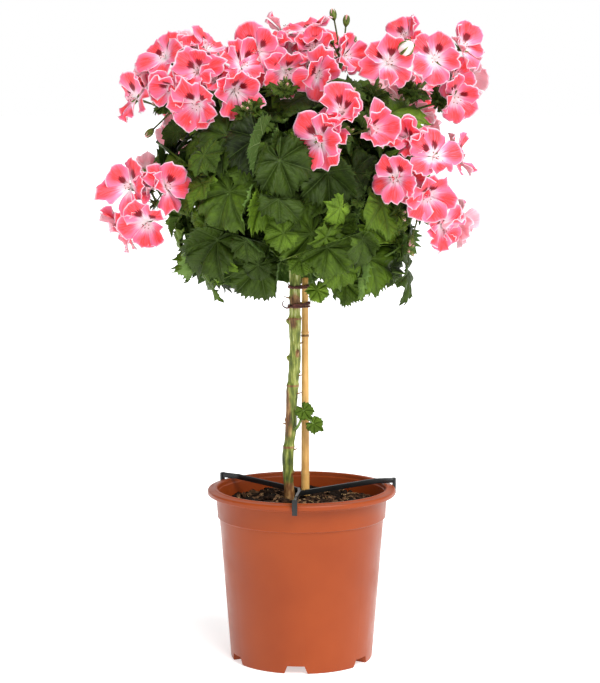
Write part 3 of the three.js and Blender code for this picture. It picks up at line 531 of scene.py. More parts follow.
def leaf_plan(root, tip, index):
    """A leaf's own directions from its root and tip; its upper face looks away from the crown's
    middle and up."""
    along = tip - root
    size = np.linalg.norm(along) / LEAF_SPAN
    along = unit(along)
    upper = unit((root + tip) / 2 - FOLIAGE) + vec([0, 0, LEAF_LIFT])
    upper = unit(upper - (upper @ along) * along)
    return {"root": root, "along": along, "upper": upper, "size": size,
            "wave": 6 * chance(index, 3)}


def on_leaf(plan, angle, share, height):
    """Places on a leaf from their angle round the petiole and their share of its length."""
    across = np.cross(plan["upper"], plan["along"])
    flat = np.cos(angle)[:, None] * plan["along"] + np.sin(angle)[:, None] * across
    return plan["root"] + (flat * share[:, None] + plan["upper"] * height[:, None]) * plan["size"]


def coarse_rim(plan, walls):
    heights = leaf_height(COARSE_SHARES, COARSE_ANGLES, plan["wave"])
    targets = on_leaf(plan, COARSE_ANGLES, COARSE_SHARES, heights)
    return reach(plan["root"], targets, plan["upper"], walls, BLADE_THICK / 2 + WALL_MARGIN)


def rim_facings(middle, rim):
    here = rim - middle
    first = unit(np.cross(np.roll(here, 1, axis=0), here))
    second = unit(np.cross(here, np.roll(here, -1, axis=0)))
    return unit(first + second)


def spiral(i, count, first_rise, fall, salt):
    """One of many outward directions, spread evenly over an egg from near its top downwards."""
    rise = first_rise - fall * (i + 0.5) / count
    turn = i * GOLDEN_ANGLE + salt
    flat = math.sqrt(1 - rise * rise)
    return vec([flat * math.cos(turn), flat * math.sin(turn), rise])


def hanging(out, swing):
    """The way down over the egg's side, swung about the outward way."""
    return turned(unit(DOWN + out[2] * out), out, swing)


def leaf_ends(place, along, size):
    """A leaf's root and tip, and the place between them that it was put at."""
    return place - LEAF_BEHIND * size * along, place + LEAF_AHEAD * size * along, place


def spread_leaves(count, share, first_size, size_range, salt):
    """Leaves spread evenly over an egg, hanging outwards and down like shingles."""
    made = []
    for i in range(count):
        out = spiral(i, count, 0.9, 1.62, salt)
        place = FOLIAGE + out * FOLIAGE_RADII * (share - 0.1 * chance(i, salt))
        along = unit(hanging(out, 1.6 * (chance(i, salt + 1) - 0.5)) * 0.94 + out * 0.34)
        made.append(leaf_ends(place, along, first_size + size_range * chance(i, salt + 2)))
    return made


def all_leaves():
    """Each leaf's root, its tip and a place between them: first those that stand out."""
    keys = []
    for root, tip in KEY_LEAVES:
        tip = lerp(vec(root), vec(tip), KEY_STRETCH)
        keys.append((vec(root), tip, lerp(vec(root), tip, LEAF_BEHIND)))
    outer = [
        leaf for leaf in spread_leaves(*OUTER_LEAVES)
        if all(np.linalg.norm(key[2] - leaf[2]) > KEY_CLEARANCE for key in keys)
    ]
    return keys + outer + spread_leaves(*INNER_LEAVES)


LEAVES = all_leaves()


def bends():
    """Every way to bend a leaf: its scale, its swing about the stem and its shift outwards."""
    for scale in BEND_SCALES:
        for swing in BEND_SWINGS:
            for shift in BEND_SHIFTS:
                yield scale, math.radians(swing), shift


def bent_ends(leaf, bend, index):
    root, tip, place = leaf
    scale, swing, shift = bend
    outward = unit(place - FOLIAGE) * shift
    moved = turned(np.stack([root, tip]) - CROWN, DIRECTIONS[index], swing) + CROWN + outward
    return moved[0], lerp(moved[0], moved[1], scale)


def settled_plan(leaf, number, index, walls, corners):
    """The plan of a leaf as it stands in the solid: the first bend whose rim the solid has."""
    for bend in bends():
        root, tip = bent_ends(leaf, bend, index)
        root = push_inside(root, walls, ROOT_MARGIN)
        if corners.find(root)[2] > BLADE_THICK / 2 + 0.1:
            continue
        plan = leaf_plan(root, tip, number)
        rim = coarse_rim(plan, walls)
        offset = rim_facings(root, rim) * BLADE_THICK / 2
        places = np.vstack([rim + offset, rim - offset])
        there = sum(corners.find(place)[2] < SAME_CORNER for place in places)
        if there > FOUND_SHARE * len(places):
            plan["seat"] = lerp(root, rim[0], 0.08)
            return plan
    return None


def corners_of(node):
    places = [v.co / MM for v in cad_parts[node].data.vertices]
    tree = KDTree(len(places))
    for i, place in enumerate(places):
        tree.insert(place, i)
    tree.balance()
    return tree


# The plan of stems and blooms

def stem_curve(index, end, count):
    direction = DIRECTIONS[index]
    start = CROWN + direction * (STUB_LENGTH + GAP)
    bend = CROWN + direction * np.linalg.norm(end - CROWN) * STEM_BEND
    return arc(start, bend, end, count)


def stem_ends(index):
    stem = STEMS[index]
    if stem["umbels"]:
        return [vec(umbel["at"]) for umbel in stem["umbels"]]
    return [CROWN + DIRECTIONS[index] * np.linalg.norm(vec(stem["toward"]) - CROWN) * BARE_STEM]


def petiole_start(root, curves, distance):
    """The place on a stem's curves that is as far from a leaf's root as asked, or nearly."""
    best = None
    for curve in curves:
        for share in np.arange(0.15, 0.9, 0.1):
            place = curve[round(share * (CURVE_COUNT - 1))]
            cost = abs(np.linalg.norm(place - root) - distance)
            if best is None or cost < best[0]:
                best = (cost, place)
    return best[1]


def petiole_line(plan, curves, walls, distance, count):
    start = petiole_start(plan["root"], curves, distance)
    bend = lerp(start, plan["root"], 0.6) - plan["upper"] * PETIOLE_SAG
    bend = push_inside(bend, walls, PETIOLE_RADIUS + 0.3)
    return arc(start, bend, plan["seat"], count)


def settled_petiole(plan, curves, walls, corners):
    """The petiole whose middle the solid has round it, out of those of all lengths."""
    radius = PETIOLE_RADIUS * (1 - (1 - PETIOLE_TIP) / 16)
    lines = [petiole_line(plan, curves, walls, distance, 11) for distance in PETIOLE_LENGTHS]
    misses = [abs(corners.find(line[5])[2] - radius) for line in lines]
    return lines[int(np.argmin(misses))]


def dome_of(umbel):
    """The places of blooms that are given as a number: one on top and the rest round it."""
    at = vec(umbel["at"])
    axis = unit(at - FOLIAGE)
    side = unit(np.cross(vec([0, 0, 1]), axis))
    around = umbel["blooms"] - 1
    places = [at + axis * DOME_TOP]
    for i in range(around):
        lean = turned(side, axis, i / around * 2 * math.pi + 0.5)
        places.append(at + axis * DOME_RISE + lean * DOME_REACH)
    return places


def bloom_up(facing, turn):
    """The way a bloom's upper petals point, turned a little about its facing."""
    up = vec([0, 0, 1]) - facing[2] * facing
    if np.linalg.norm(up) < 0.2:
        up = vec([1, 0, 0]) - facing[0] * facing
    return turned(unit(up), facing, turn)


def blooms_of(index, umbel):
    walls = walls_of(index) + [umbel_wall(umbel, True)]
    eased = walls_of(index, PETAL_EASE) + [umbel_wall(umbel, True)]
    given = umbel["blooms"]
    places = [vec(p) for p in given] if isinstance(given, list) else dome_of(umbel)
    made = []
    for i, place in enumerate(places):
        place = push_inside(place, walls, HUB_MARGIN)
        facing = unit(place - vec(umbel["at"]))
        up = bloom_up(facing, chance(i, place[0]) - 0.5)
        size = PETAL_LENGTH * (0.92 + 0.16 * chance(i, place[2]))
        size *= umbel["sizes"][i] if "sizes" in umbel else 1
        opening = 0.42 + 0.4 * chance(i, place[1]) - 0.3 * smooth((facing[2] - 0.6) / 0.3)
        made.append({"place": place, "facing": facing, "up": up, "size": size,
                     "opening": opening, "walls": eased})
    return made


def shown_blooms(index, umbel):
    """The planned blooms of an umbel, and half-open ones that stand lower between them."""
    planned = blooms_of(index, umbel)
    at = vec(umbel["at"])
    between = []
    for i, (first, second) in enumerate(zip(planned[:-1:2], planned[1::2])):
        way = lerp(first["place"], second["place"], 0.4 + 0.2 * chance(i, at[0])) - at
        facing = unit(unit(way) + 0.25 * first["up"])
        between.append({"place": at + HALF_OPEN_SHARE * way, "facing": facing,
                        "up": bloom_up(facing, 1.5 * chance(i, at[2])), "opening": 0.85,
                        "size": HALF_OPEN_SHARE * PETAL_LENGTH, "walls": first["walls"]})
    return planned + between


# Meshes made from places

def keep_values(mesh, label, values):
    """Stores a number at each corner of a mesh, for its materials to read."""
    store = mesh.attributes.new(label, "FLOAT", "POINT")
    store.data.foreach_set("value", np.asarray(values, np.float32))


class Shape:
    """Gathers the places and faces of one piece, with what its materials read."""

    def __init__(self, materials):
        self.materials = materials
        self.places, self.faces, self.finishes = [], [], []
        self.uvs, self.tints, self.marks = [], [], []
        self.count = 0

    def add(self, places, faces, finish, uv=None, tint=0.5, mark=0.0):
        """Adds places and their faces, in one of the shape's materials."""
        places = np.asarray(places, float)
        self.places.append(places)
        self.faces.append(np.asarray(faces) + self.count)
        self.finishes.append(np.full(len(faces), self.materials.index(finish)))
        self.uvs.append(np.zeros((len(places), 2)) if uv is None else uv)
        self.tints.append(np.full(len(places), tint))
        self.marks.append(np.full(len(places), mark))
        self.count += len(places)

    def piece(self, name):
        mesh = bpy.data.meshes.new(name)
        places = np.concatenate(self.places) * MM
        faces = np.concatenate(self.faces)
        mesh.vertices.add(len(places))
        mesh.vertices.foreach_set("co", places.ravel())
        mesh.loops.add(faces.size)
        mesh.loops.foreach_set("vertex_index", faces.ravel().astype(np.int32))
        mesh.polygons.add(len(faces))
        mesh.polygons.foreach_set("loop_start", np.arange(0, faces.size, 4, dtype=np.int32))
        finishes = np.concatenate(self.finishes).astype(np.int32)
        mesh.polygons.foreach_set("material_index", finishes)
        mesh.update(calc_edges=True)
        layer = mesh.uv_layers.new(name="surface")
        uvs = np.concatenate(self.uvs)[faces.ravel()].astype(np.float32)
        layer.data.foreach_set("uv", uvs.ravel())
        keep_values(mesh, "tint", np.concatenate(self.tints))
        keep_values(mesh, "mark", np.concatenate(self.marks))
        for finish in self.materials:
            mesh.materials.append(finish)
        made = bpy.data.objects.new(name, mesh)
        bpy.context.scene.collection.objects.link(made)
        return made


def grid_faces(columns, rows):
    """Quads of a sheet of columns by rows of places, one row after another."""
    start = (np.arange(rows - 1)[:, None] * columns + np.arange(columns - 1)).ravel()
    return np.stack([start, start + 1, start + columns + 1, start + columns], axis=1)


def tube(middles, radii, sides):
    """Places and faces of a round bar along a line of places, closed at both ends."""
    middles = np.asarray(middles, float)
    steps = len(middles)
    ahead = unit(np.gradient(middles, axis=0))
    side = np.cross(ahead[0], [0, 0, 1] if abs(ahead[0][2]) < 0.9 else [1, 0, 0])
    angles = np.arange(sides) * 2 * math.pi / sides
    rows = []
    for i in range(steps):
        side = unit(side - (side @ ahead[i]) * ahead[i])
        other = np.cross(ahead[i], side)
        ring = np.cos(angles)[:, None] * side + np.sin(angles)[:, None] * other
        rows.append(middles[i] + ring * radii[i])
    places = np.concatenate(rows + [middles[:1], middles[-1:]])
    k = np.arange(sides)
    after = (k + 1) % sides
    faces = [
        np.stack([i * sides + k, i * sides + after, (i + 1) * sides + after, (i + 1) * sides + k], 1)
        for i in range(steps - 1)
    ]
    first, last = steps * sides, steps * sides + 1
    top = (steps - 1) * sides
    even = np.arange(0, sides, 2)
    odd, next_even = even + 1, (even + 2) % sides
    middle = np.zeros_like(even)
    faces.append(np.stack([middle + first, next_even, odd, even], 1))
    faces.append(np.stack([middle + last, top + even, top + odd, top + next_even], 1))
    return places, np.concatenate(faces)


# Pieces shaped by modelling operators

def only(piece):
    """Selects one piece and nothing else."""
    bpy.ops.object.select_all(action="DESELECT")
    piece.select_set(True)
    bpy.context.view_layer.objects.active = piece


def apply_modifier(piece, kind, **settings):
    made = piece.modifiers.new(kind.lower(), kind)
    for key, value in settings.items():
        setattr(made, key, value)
    only(piece)
    bpy.ops.object.modifier_apply(modifier=made.name)


def close_doubles(piece):
    only(piece)
    bpy.ops.object.mode_set(mode="EDIT")
    bpy.ops.mesh.select_all(action="SELECT")
    bpy.ops.mesh.remove_doubles(threshold=SAME_PLACE * MM)
    bpy.ops.object.mode_set(mode="OBJECT")


def joined(name, pieces):
    bpy.ops.object.select_all(action="DESELECT")
    for piece in pieces:
        piece.select_set(True)
    bpy.context.view_layer.objects.active = pieces[0]
    if len(pieces) > 1:
        bpy.ops.object.join()
    pieces[0].name = name
    pieces[0].data.name = name
    return pieces[0]


def smoothed(piece, angle=180):
    only(piece)
    if angle < 180:
        bpy.ops.object.shade_smooth_by_angle(angle=math.radians(angle))
    else:
        bpy.ops.object.shade_smooth()
    return piece


def drawn_up(rings, sides):
    """A disc drawn up ring by ring into a closed solid. A ring is its middle and its radius."""
    bpy.ops.object.select_all(action="DESELECT")
    x, y, z, radius = rings[0]
    bpy.ops.mesh.primitive_circle_add(
        vertices=sides, radius=radius * MM, fill_type="NGON", location=(x * MM, y * MM, z * MM))
    made = bpy.context.object
    bpy.ops.object.mode_set(mode="EDIT")
    bpy.ops.mesh.select_all(action="SELECT")
    for before, after in zip(rings, rings[1:]):
        step = [(b - a) * MM for a, b in zip(before[:3], after[:3])]
        middle = [c * MM for c in after[:3]]
        grow = after[3] / before[3]
        bpy.ops.mesh.extrude_region_move(TRANSFORM_OT_translate={"value": step})
        bpy.ops.transform.resize(value=(grow, grow, 1), center_override=middle)
    bpy.ops.mesh.select_all(action="SELECT")
    bpy.ops.mesh.normals_make_consistent(inside=False)
    bpy.ops.object.mode_set(mode="OBJECT")
    bpy.ops.object.transform_apply()
    return made


def cut(piece, operation, tool):
    """Joins, cuts or narrows a piece with a tool, which is used up."""
    apply_modifier(piece, "BOOLEAN", operation=operation, object=tool, solver="EXACT")
    bpy.data.objects.remove(tool)


def bar(size, middle, turn, top_share=1.0):
    """A block at a place out from the pot's middle, turned round it, with a narrower top."""
    bpy.ops.object.select_all(action="DESELECT")
    bpy.ops.mesh.primitive_cube_add(size=1, location=[c * MM for c in middle])
    made = bpy.context.object
    made.scale = [s * MM for s in size]
    bpy.ops.object.transform_apply()
    for corner in made.data.vertices:
        if corner.co.z > middle[2] * MM:
            corner.co.y *= top_share
    made.rotation_euler[2] = math.radians(turn)
    bpy.ops.object.transform_apply()
    return made


def dress(piece, *materials):
    """Gives a piece these materials in place of what it has."""
    piece.data.materials.clear()
    for finish in materials:
        piece.data.materials.append(finish)


def grown_piece(name, sheet, solid, thick):
    """Thin sheets and what they grow on as one piece. Each sheet gets its thickness, and on its
    back the material that follows its own."""
    sheets = sheet.piece(name)
    close_doubles(sheets)
    apply_modifier(sheets, "SOLIDIFY", thickness=thick * MM, offset=0, material_offset=1,
                   use_rim=True)
    return smoothed(joined(name, [sheets, solid.piece(name + "_stalks")]))


def hand_in(piece, nodes):
    """Makes a piece move with the root body and hides the solids it stands for."""
    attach(piece, "root")
    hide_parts(*nodes)


# Materials

def linear(code):
    """An sRGB hex colour as linear numbers."""
    shares = [int(code[i:i + 2], 16) / 255 for i in (1, 3, 5)]
    bent = [s / 12.92 if s <= 0.04045 else ((s + 0.055) / 1.055) ** 2.4 for s in shares]
    return (*bent, 1)


def every(size):
    """The scale of a pattern that has one grain for each size in millimetres."""
    return 1 / (size * MM)


def add(tree, kind, *values, stops=(), **settings):
    """Adds a node and returns its first output. The kind may end in the node's operation. A value
    is a number, a colour, another node's output, or None for what the node has."""
    kind, _, operation = kind.partition(" ")
    made = tree.nodes.new("ShaderNode" + kind)
    if operation:
        made.operation = operation
    for key, value in settings.items():
        setattr(made, key, value)
    for i, (place, value) in enumerate(stops):
        ramp = made.color_ramp.elements
        stop = ramp[i] if i < 2 else ramp.new(place)
        stop.position = place
        stop.color = linear(value) if isinstance(value, str) else (value, value, value, 1)
    for socket, value in zip([s for s in made.inputs if s.enabled], values):
        if isinstance(value, bpy.types.NodeSocket):
            tree.links.new(value, socket)
        elif value is not None:
            socket.default_value = linear(value) if isinstance(value, str) else value
    return next(s for s in made.outputs if s.enabled)


def material(name, roughness, **sockets):
    """A new material, with its tree and its shader. What is the same all over is set here."""
    made = bpy.data.materials.new(name)
    made.use_nodes = True
    tree = made.node_tree
    shader = tree.nodes["Principled BSDF"]
    shader.inputs["Roughness"].default_value = roughness
    for key, value in sockets.items():
        shader.inputs[key.replace("_", " ")].default_value = value
    return made, tree, shader


def connect(tree, shader, colour, height=None, depth=0.3, strength=1.0, roughness=None):
    """Links a material's colour, its relief in millimetres and its roughness."""
    tree.links.new(colour, shader.inputs["Base Color"])
    if height is not None:
        bump = add(tree, "Bump", strength, depth * MM, None, height)
        tree.links.new(bump, shader.inputs["Normal"])
    if roughness is not None:
        tree.links.new(roughness, shader.inputs["Roughness"])


def from_middle(tree, x, y):
    """How far a place is from a middle, from how far it is across and along."""
    return add(tree, "Math SQRT", add(
        tree, "Math MULTIPLY_ADD", x, x, add(tree, "Math MULTIPLY", y, y)))


def leaf_veins(tree, uv):
    """A leaf's main veins, its side veins that slant off them, and the valleys round both, which set its
    relief and its painted shade.
    """
    split = add(tree, "SeparateXYZ", uv).node.outputs
    x = add(tree, "Math SUBTRACT", split[0], 0.5)
    y = add(tree, "Math SUBTRACT", split[1], 0.5)
    angle = add(tree, "Math ABSOLUTE", add(tree, "Math ARCTAN2", y, x))
    radius = from_middle(tree, x, y)
    shifted = add(tree, "Math ADD", angle, LEAF_LOBE / 2)
    turn = add(tree, "Math SUBTRACT", add(tree, "Math MODULO", shifted, LEAF_LOBE), LEAF_LOBE / 2)
    off = add(tree, "Math ABSOLUTE", add(tree, "Math MULTIPLY", add(tree, "Math SINE", turn), radius))
    along = add(tree, "Math MULTIPLY", add(tree, "Math COSINE", turn), radius)
    width = add(tree, "Math MULTIPLY_ADD", radius, -0.012, 0.0095)
    main = add(tree, "Math SUBTRACT", 1.0, add(tree, "Math DIVIDE", off, width), use_clamp=True)
    valley = add(tree, "Math MULTIPLY_ADD", off, -30.0, 1.0, use_clamp=True)
    wobble = add(tree, "TexNoise", uv, 9.0, 1.0)
    slant = add(tree, "Math MULTIPLY_ADD", off, -0.95, along)
    slant = add(tree, "Math MULTIPLY_ADD", wobble, 0.07, slant)
    swell = add(tree, "Math PINGPONG", add(tree, "Math DIVIDE", slant, 0.034), 1.0)
    side = add(tree, "Math MULTIPLY_ADD", swell, -5.0, 1.0, use_clamp=True)
    valley = add(tree, "Math MAXIMUM", valley, add(tree, "Math MULTIPLY_ADD", swell, -0.7, 0.45))
    return main, side, valley


def leaf_material(name, shades, vein, roughness, back):
    """A regal geranium's leaf: a soft, hairy blade, dull on both faces and swollen between its veins,
    with painted shade in the valleys along its veins, stronger above, and paler, raised veins below."""
    made, tree, shader = material(name, roughness, Specular_IOR_Level=0.16)
    uv = add(tree, "UVMap", uv_map="surface")
    main, side, valley = leaf_veins(tree, uv)
    tint = add(tree, "Attribute", attribute_name="tint").node.outputs["Fac"]
    place = add(tree, "TexCoord").node.outputs["Object"]
    mottle = add(tree, "TexNoise", place, every(12), 4.0)
    blend = add(tree, "Math MULTIPLY_ADD", tint, 0.75, -0.2)
    blend = add(tree, "Math MULTIPLY_ADD", mottle, 0.55, blend)
    dark, mid, light, young = shades
    base = add(tree, "ValToRGB", blend, stops=[(0.1, dark), (0.78, light), (0.45, mid), (1.0, young)])
    # Painted shade: the valleys along the veins are mixed towards the darkest green, less on the underside
    # and on paler leaves.
    deep = add(tree, "Math MULTIPLY_ADD", tint, -0.3, 0.25 if back else 0.66, use_clamp=True)
    painted_valley_shade = add(tree, "Math MULTIPLY", valley, deep, use_clamp=True)
    base = add(tree, "Mix", painted_valley_shade, base, dark, data_type="RGBA")
    veins = add(tree, "Math MAXIMUM", add(tree, "Math MULTIPLY", side, 0.3), main)
    share = add(tree, "Math MULTIPLY", veins, 0.75 if back else 0.24)
    colour = add(tree, "Mix", share, base, vein, data_type="RGBA")
    pucker = add(tree, "TexNoise", uv, 40.0, 3.0)
    if back:
        height = add(tree, "Math MULTIPLY_ADD", pucker, 0.5, veins)
    else:
        height = add(tree, "Math MULTIPLY_ADD", pucker, 0.6, add(tree, "Math MULTIPLY", valley, -1.0))
    connect(tree, shader, colour, height, depth=0.9)
    return made


def petal_streaks(tree, across, along, tint):
    """Broad and fine streaks that run along a petal, other ones on each petal."""
    streaks = []
    for columns, rows, seed in ((26.0, 1.4, 40.0), (70.0, 2.5, 20.0)):
        grain = add(tree, "CombineXYZ", add(tree, "Math MULTIPLY", across, columns),
                    add(tree, "Math MULTIPLY", along, rows), add(tree, "Math MULTIPLY", tint, seed))
        streaks.append(add(tree, "TexNoise", grain, 1.0, 2.0))
    return streaks


def petal_back_colour(tree, reached, fine):
    """Pale pink, with fine darker veins."""
    base = add(tree, "ValToRGB", reached, stops=[
        (0.0, "#fbeadc"), (1.0, "#ffc3cd"), (0.35, "#ffced6"), (0.65, "#ffadba")])
    veins = add(tree, "ValToRGB", fine, stops=[(0.5, 0.0), (0.72, 1.0)])
    return add(tree, "Mix", add(tree, "Math MULTIPLY", veins, 0.42), base, "#e56f86",
               data_type="RGBA")


def petal_oval(tree, side, wide, reached, middle, tall):
    """How far out from an oval's middle a place is; 1 is on the oval."""
    high = add(tree, "Math DIVIDE", add(tree, "Math SUBTRACT", reached, middle), tall)
    return from_middle(tree, high, add(tree, "Math DIVIDE", side, wide))


def petal_face_colour(tree, side, along, reached, fine):
    """White at the throat and pink further out, with veins low down, a streaky coral patch near
    the end, and a dark blotch at the middle that is as strong as the petal's mark."""
    base = add(tree, "ValToRGB", reached, stops=[
        (0.05, "#fff6f4"), (1.0, "#f26c92"), (0.24, "#fed6e2"), (0.42, "#f78fb2")])
    veins = add(tree, "ValToRGB", fine, stops=[(0.5, 0.0), (0.66, 1.0)])
    low = add(tree, "Math MULTIPLY_ADD", along, -1.3, 1.0, use_clamp=True)
    colour = add(tree, "Mix", add(tree, "Math MULTIPLY", veins, add(
        tree, "Math MULTIPLY", low, 0.7)), base, "#d22f5e", data_type="RGBA")
    far = petal_oval(tree, side, 0.86, reached, 0.68, 0.36)
    patch = add(tree, "ValToRGB", far, stops=[(0.42, 1.0), (1.0, 0.0)])
    lines = add(tree, "MapRange", fine, 0.38, 0.52, 0.62, 1.0)
    patch = add(tree, "Math MULTIPLY", patch, lines)
    colour = add(tree, "Mix", add(tree, "Math MULTIPLY", patch, 0.95), colour, "#f9403c",
                 data_type="RGBA")
    near = petal_oval(tree, side, 0.5, reached, 0.39, 0.2)
    blotch = add(tree, "ValToRGB", near, stops=[(0.6, 1.0), (1.05, 0.0)])
    mark = add(tree, "Attribute", attribute_name="mark").node.outputs["Fac"]
    return add(tree, "Mix", add(tree, "Math MULTIPLY", blotch, mark), colour, "#66020f",
               data_type="RGBA")


def petal_material(name, back):
    """A regal geranium's petal: thin, soft and slightly see-through, streaked along its length,
    with a pale edge that is partly its own paler margin and partly a painted highlight."""
    made, tree, shader = material(name, 0.55, Specular_IOR_Level=0.14, Subsurface_Weight=0.35,
                                  Subsurface_Radius=(0.003, 0.0016, 0.0016), Subsurface_Scale=1.0)
    uv = add(tree, "UVMap", uv_map="surface")
    across, along, _ = add(tree, "SeparateXYZ", uv).node.outputs
    tint = add(tree, "Attribute", attribute_name="tint").node.outputs["Fac"]
    centred = add(tree, "Math SUBTRACT", across, 0.5)
    side = add(tree, "Math MULTIPLY", add(tree, "Math ABSOLUTE", centred), 2.0)
    broad, fine = petal_streaks(tree, across, along, tint)
    feather = add(tree, "Math SUBTRACT", broad, 0.5)
    reached = add(tree, "Math MULTIPLY_ADD", feather, 0.36, along)
    reached = add(tree, "Math MULTIPLY_ADD", tint, -0.07, reached)
    if back:
        colour = petal_back_colour(tree, reached, fine)
    else:
        colour = petal_face_colour(tree, side, along, reached, fine)
    # The pale edge: partly the petal's own paler margin, partly a painted highlight along its rim.
    edge = add(tree, "Math MINIMUM", add(tree, "Math SUBTRACT", 1.0, along), add(
        tree, "Math MULTIPLY", add(tree, "Math SUBTRACT", 1.0, side), 0.55))
    rim = add(tree, "ValToRGB", edge, stops=[(0.006, 1.0), (0.06, 0.0)])
    colour = add(tree, "Mix", add(tree, "Math MULTIPLY", rim, 0.85), colour, "#ffd6e2",
                 data_type="RGBA")
    height = add(tree, "Math MULTIPLY_ADD", fine, 0.5, broad)
    connect(tree, shader, colour, height, depth=0.6, strength=0.4)
    return made


def soft_tissue(name, low, high, roughness, grain):
    """Soft plant tissue, dull to satin, blotched a little as its sap shows through."""
    made, tree, shader = material(name, roughness, Specular_IOR_Level=0.3)
    place = add(tree, "TexCoord").node.outputs["Object"]
    mottle = add(tree, "TexNoise", place, every(grain), 4.0)
    colour = add(tree, "ValToRGB", mottle, stops=[(0.3, low), (0.7, high)])
    connect(tree, shader, colour, mottle, strength=0.3)
    return made


def pot_plastic():
    """Polypropylene moulded in terracotta: an even, satin colour with a soft sheen, fine pitting
    from the mould and a few dull rubbed places."""
    made, tree, shader = material(
        "moulded_terracotta_polypropylene", 0.35, IOR=1.49, Specular_IOR_Level=0.24)
    place = add(tree, "TexCoord").node.outputs["Object"]
    cloud = add(tree, "TexNoise", place, every(70), 3.0)
    colour = add(tree, "ValToRGB", cloud, stops=[(0.3, "#8b3911"), (0.7, "#964116")])
    pits = add(tree, "TexNoise", place, every(0.9), 2.0)
    rubbed = add(tree, "TexNoise", place, every(24), 5.0)
    rough = add(tree, "MapRange", rubbed, 0.35, 0.7, 0.28, 0.42)
    connect(tree, shader, colour, pits, depth=0.05, strength=0.5, roughness=rough)
    return made


def potting_soil():
    """Peat with bark and coir: dry, matt and dark brown, each crumb of its own shade."""
    made, tree, shader = material("peat_potting_soil", 0.95, Specular_IOR_Level=0.1)
    place = add(tree, "TexCoord").node.outputs["Object"]
    tint = add(tree, "Attribute", attribute_name="tint").node.outputs["Fac"]
    grain = add(tree, "TexNoise", place, every(2.2), 5.0)
    blend = add(tree, "Math MULTIPLY_ADD", grain, 0.9, add(tree, "Math MULTIPLY_ADD", tint, 0.9, -0.5))
    colour = add(tree, "ValToRGB", blend, stops=[
        (0.1, "#1c130d"), (1.0, "#c4a67e"), (0.4, "#463021"), (0.68, "#86674a")])
    connect(tree, shader, colour, grain, depth=1.2)
    return made


def coir():
    """Coconut fibre in the soil: pale tan, dry and matt."""
    made, tree, shader = material("coir_fibre", 0.85, Specular_IOR_Level=0.2)
    tint = add(tree, "Attribute", attribute_name="tint").node.outputs["Fac"]
    colour = add(tree, "ValToRGB", tint, stops=[(0.0, "#6a4526"), (1.0, "#c9a878")])
    connect(tree, shader, colour)
    return made


def trunk_bark():
    """Green geranium bark: waxy and green above with pale upright streaks, and browned, corky
    and cracked lower down and round old leaf scars."""
    made, tree, shader = material("green_geranium_bark", 0.5, Specular_IOR_Level=0.4)
    place = add(tree, "TexCoord").node.outputs["Object"]
    height = add(tree, "SeparateXYZ", place).node.outputs[2]
    stretched = add(tree, "VectorMath MULTIPLY", place, (1.0, 1.0, 0.2))
    streak = add(tree, "TexNoise", stretched, every(2.6), 4.0)
    patch = add(tree, "TexNoise", place, every(9), 5.0)
    pale = add(tree, "MapRange", height, 0.25, 0.37, 0.0, 0.14)
    tone = add(tree, "Math ADD", add(tree, "Math MULTIPLY_ADD", patch, 0.2, -0.12), streak)
    green = add(tree, "ValToRGB", add(tree, "Math ADD", tone, pale), stops=[
        (0.28, "#27330a"), (0.8, "#ccd096"), (0.5, "#667326"), (0.64, "#959c46")])
    cork = add(tree, "ValToRGB", streak, stops=[
        (0.3, "#3f220e"), (0.72, "#b08656"), (0.5, "#754522")])
    brown = add(tree, "Attribute", attribute_name="tint").node.outputs["Fac"]
    share = add(tree, "Math ADD", add(tree, "Math MULTIPLY_ADD", patch, 1.1, -0.55), brown)
    spots = add(tree, "MapRange", share, 0.3, 0.62, 0.0, 0.92)
    colour = add(tree, "Mix", spots, green, cork, data_type="RGBA")
    speck = add(tree, "TexNoise", place, every(1.6), 3.0)
    colour = add(tree, "Mix", add(tree, "MapRange", speck, 0.62, 0.74, 0.0, 0.55), colour, "#5b3d22",
                 data_type="RGBA")
    relief = add(tree, "Math MULTIPLY_ADD", patch, 0.8, streak)
    connect(tree, shader, colour, relief, depth=0.8, strength=0.9)
    return made


def bamboo():
    """A split-free bamboo cane: hard, smooth and tan, with fine upright fibres, darker stains and
    a satin skin."""
    made, tree, shader = material("tonkin_bamboo_skin", 0.4, Specular_IOR_Level=0.45)
    place = add(tree, "TexCoord").node.outputs["Object"]
    height = add(tree, "SeparateXYZ", place).node.outputs[2]
    stretched = add(tree, "VectorMath MULTIPLY", place, (1.0, 1.0, 0.03))
    fibre = add(tree, "TexNoise", stretched, every(0.8), 3.0)
    stain = add(tree, "TexNoise", place, every(30), 4.0)
    blend = add(tree, "Math MULTIPLY_ADD", fibre, 0.45, add(tree, "Math MULTIPLY", stain, 0.6))
    colour = add(tree, "ValToRGB", blend, stops=[
        (0.3, "#a06d2a"), (0.76, "#f0cb86"), (0.52, "#d6a459")])
    for node, share in zip(CANE_NODES, CANE_STAINS):
        near = add(tree, "Math ABSOLUTE", add(tree, "Math SUBTRACT", height, (node - 1.4) * MM))
        band = add(tree, "MapRange", near, 0.5 * MM, 1.6 * MM, share, 0.0)
        colour = add(tree, "Mix", band, colour, "#5e3c1c", data_type="RGBA")
    connect(tree, shader, colour, fibre, depth=0.15, strength=0.7)
    return made


def plain_plastic(name, colour_low, colour_high, roughness, grain):
    """Moulded plastic: even in colour, with a fine skin that catches a soft light."""
    made, tree, shader = material(name, roughness, IOR=1.49)
    place = add(tree, "TexCoord").node.outputs["Object"]
    cloud = add(tree, "TexNoise", place, every(grain), 4.0)
    colour = add(tree, "ValToRGB", cloud, stops=[(0.3, colour_low), (0.7, colour_high)])
    connect(tree, shader, colour, cloud, depth=0.1, strength=0.4)
    return made


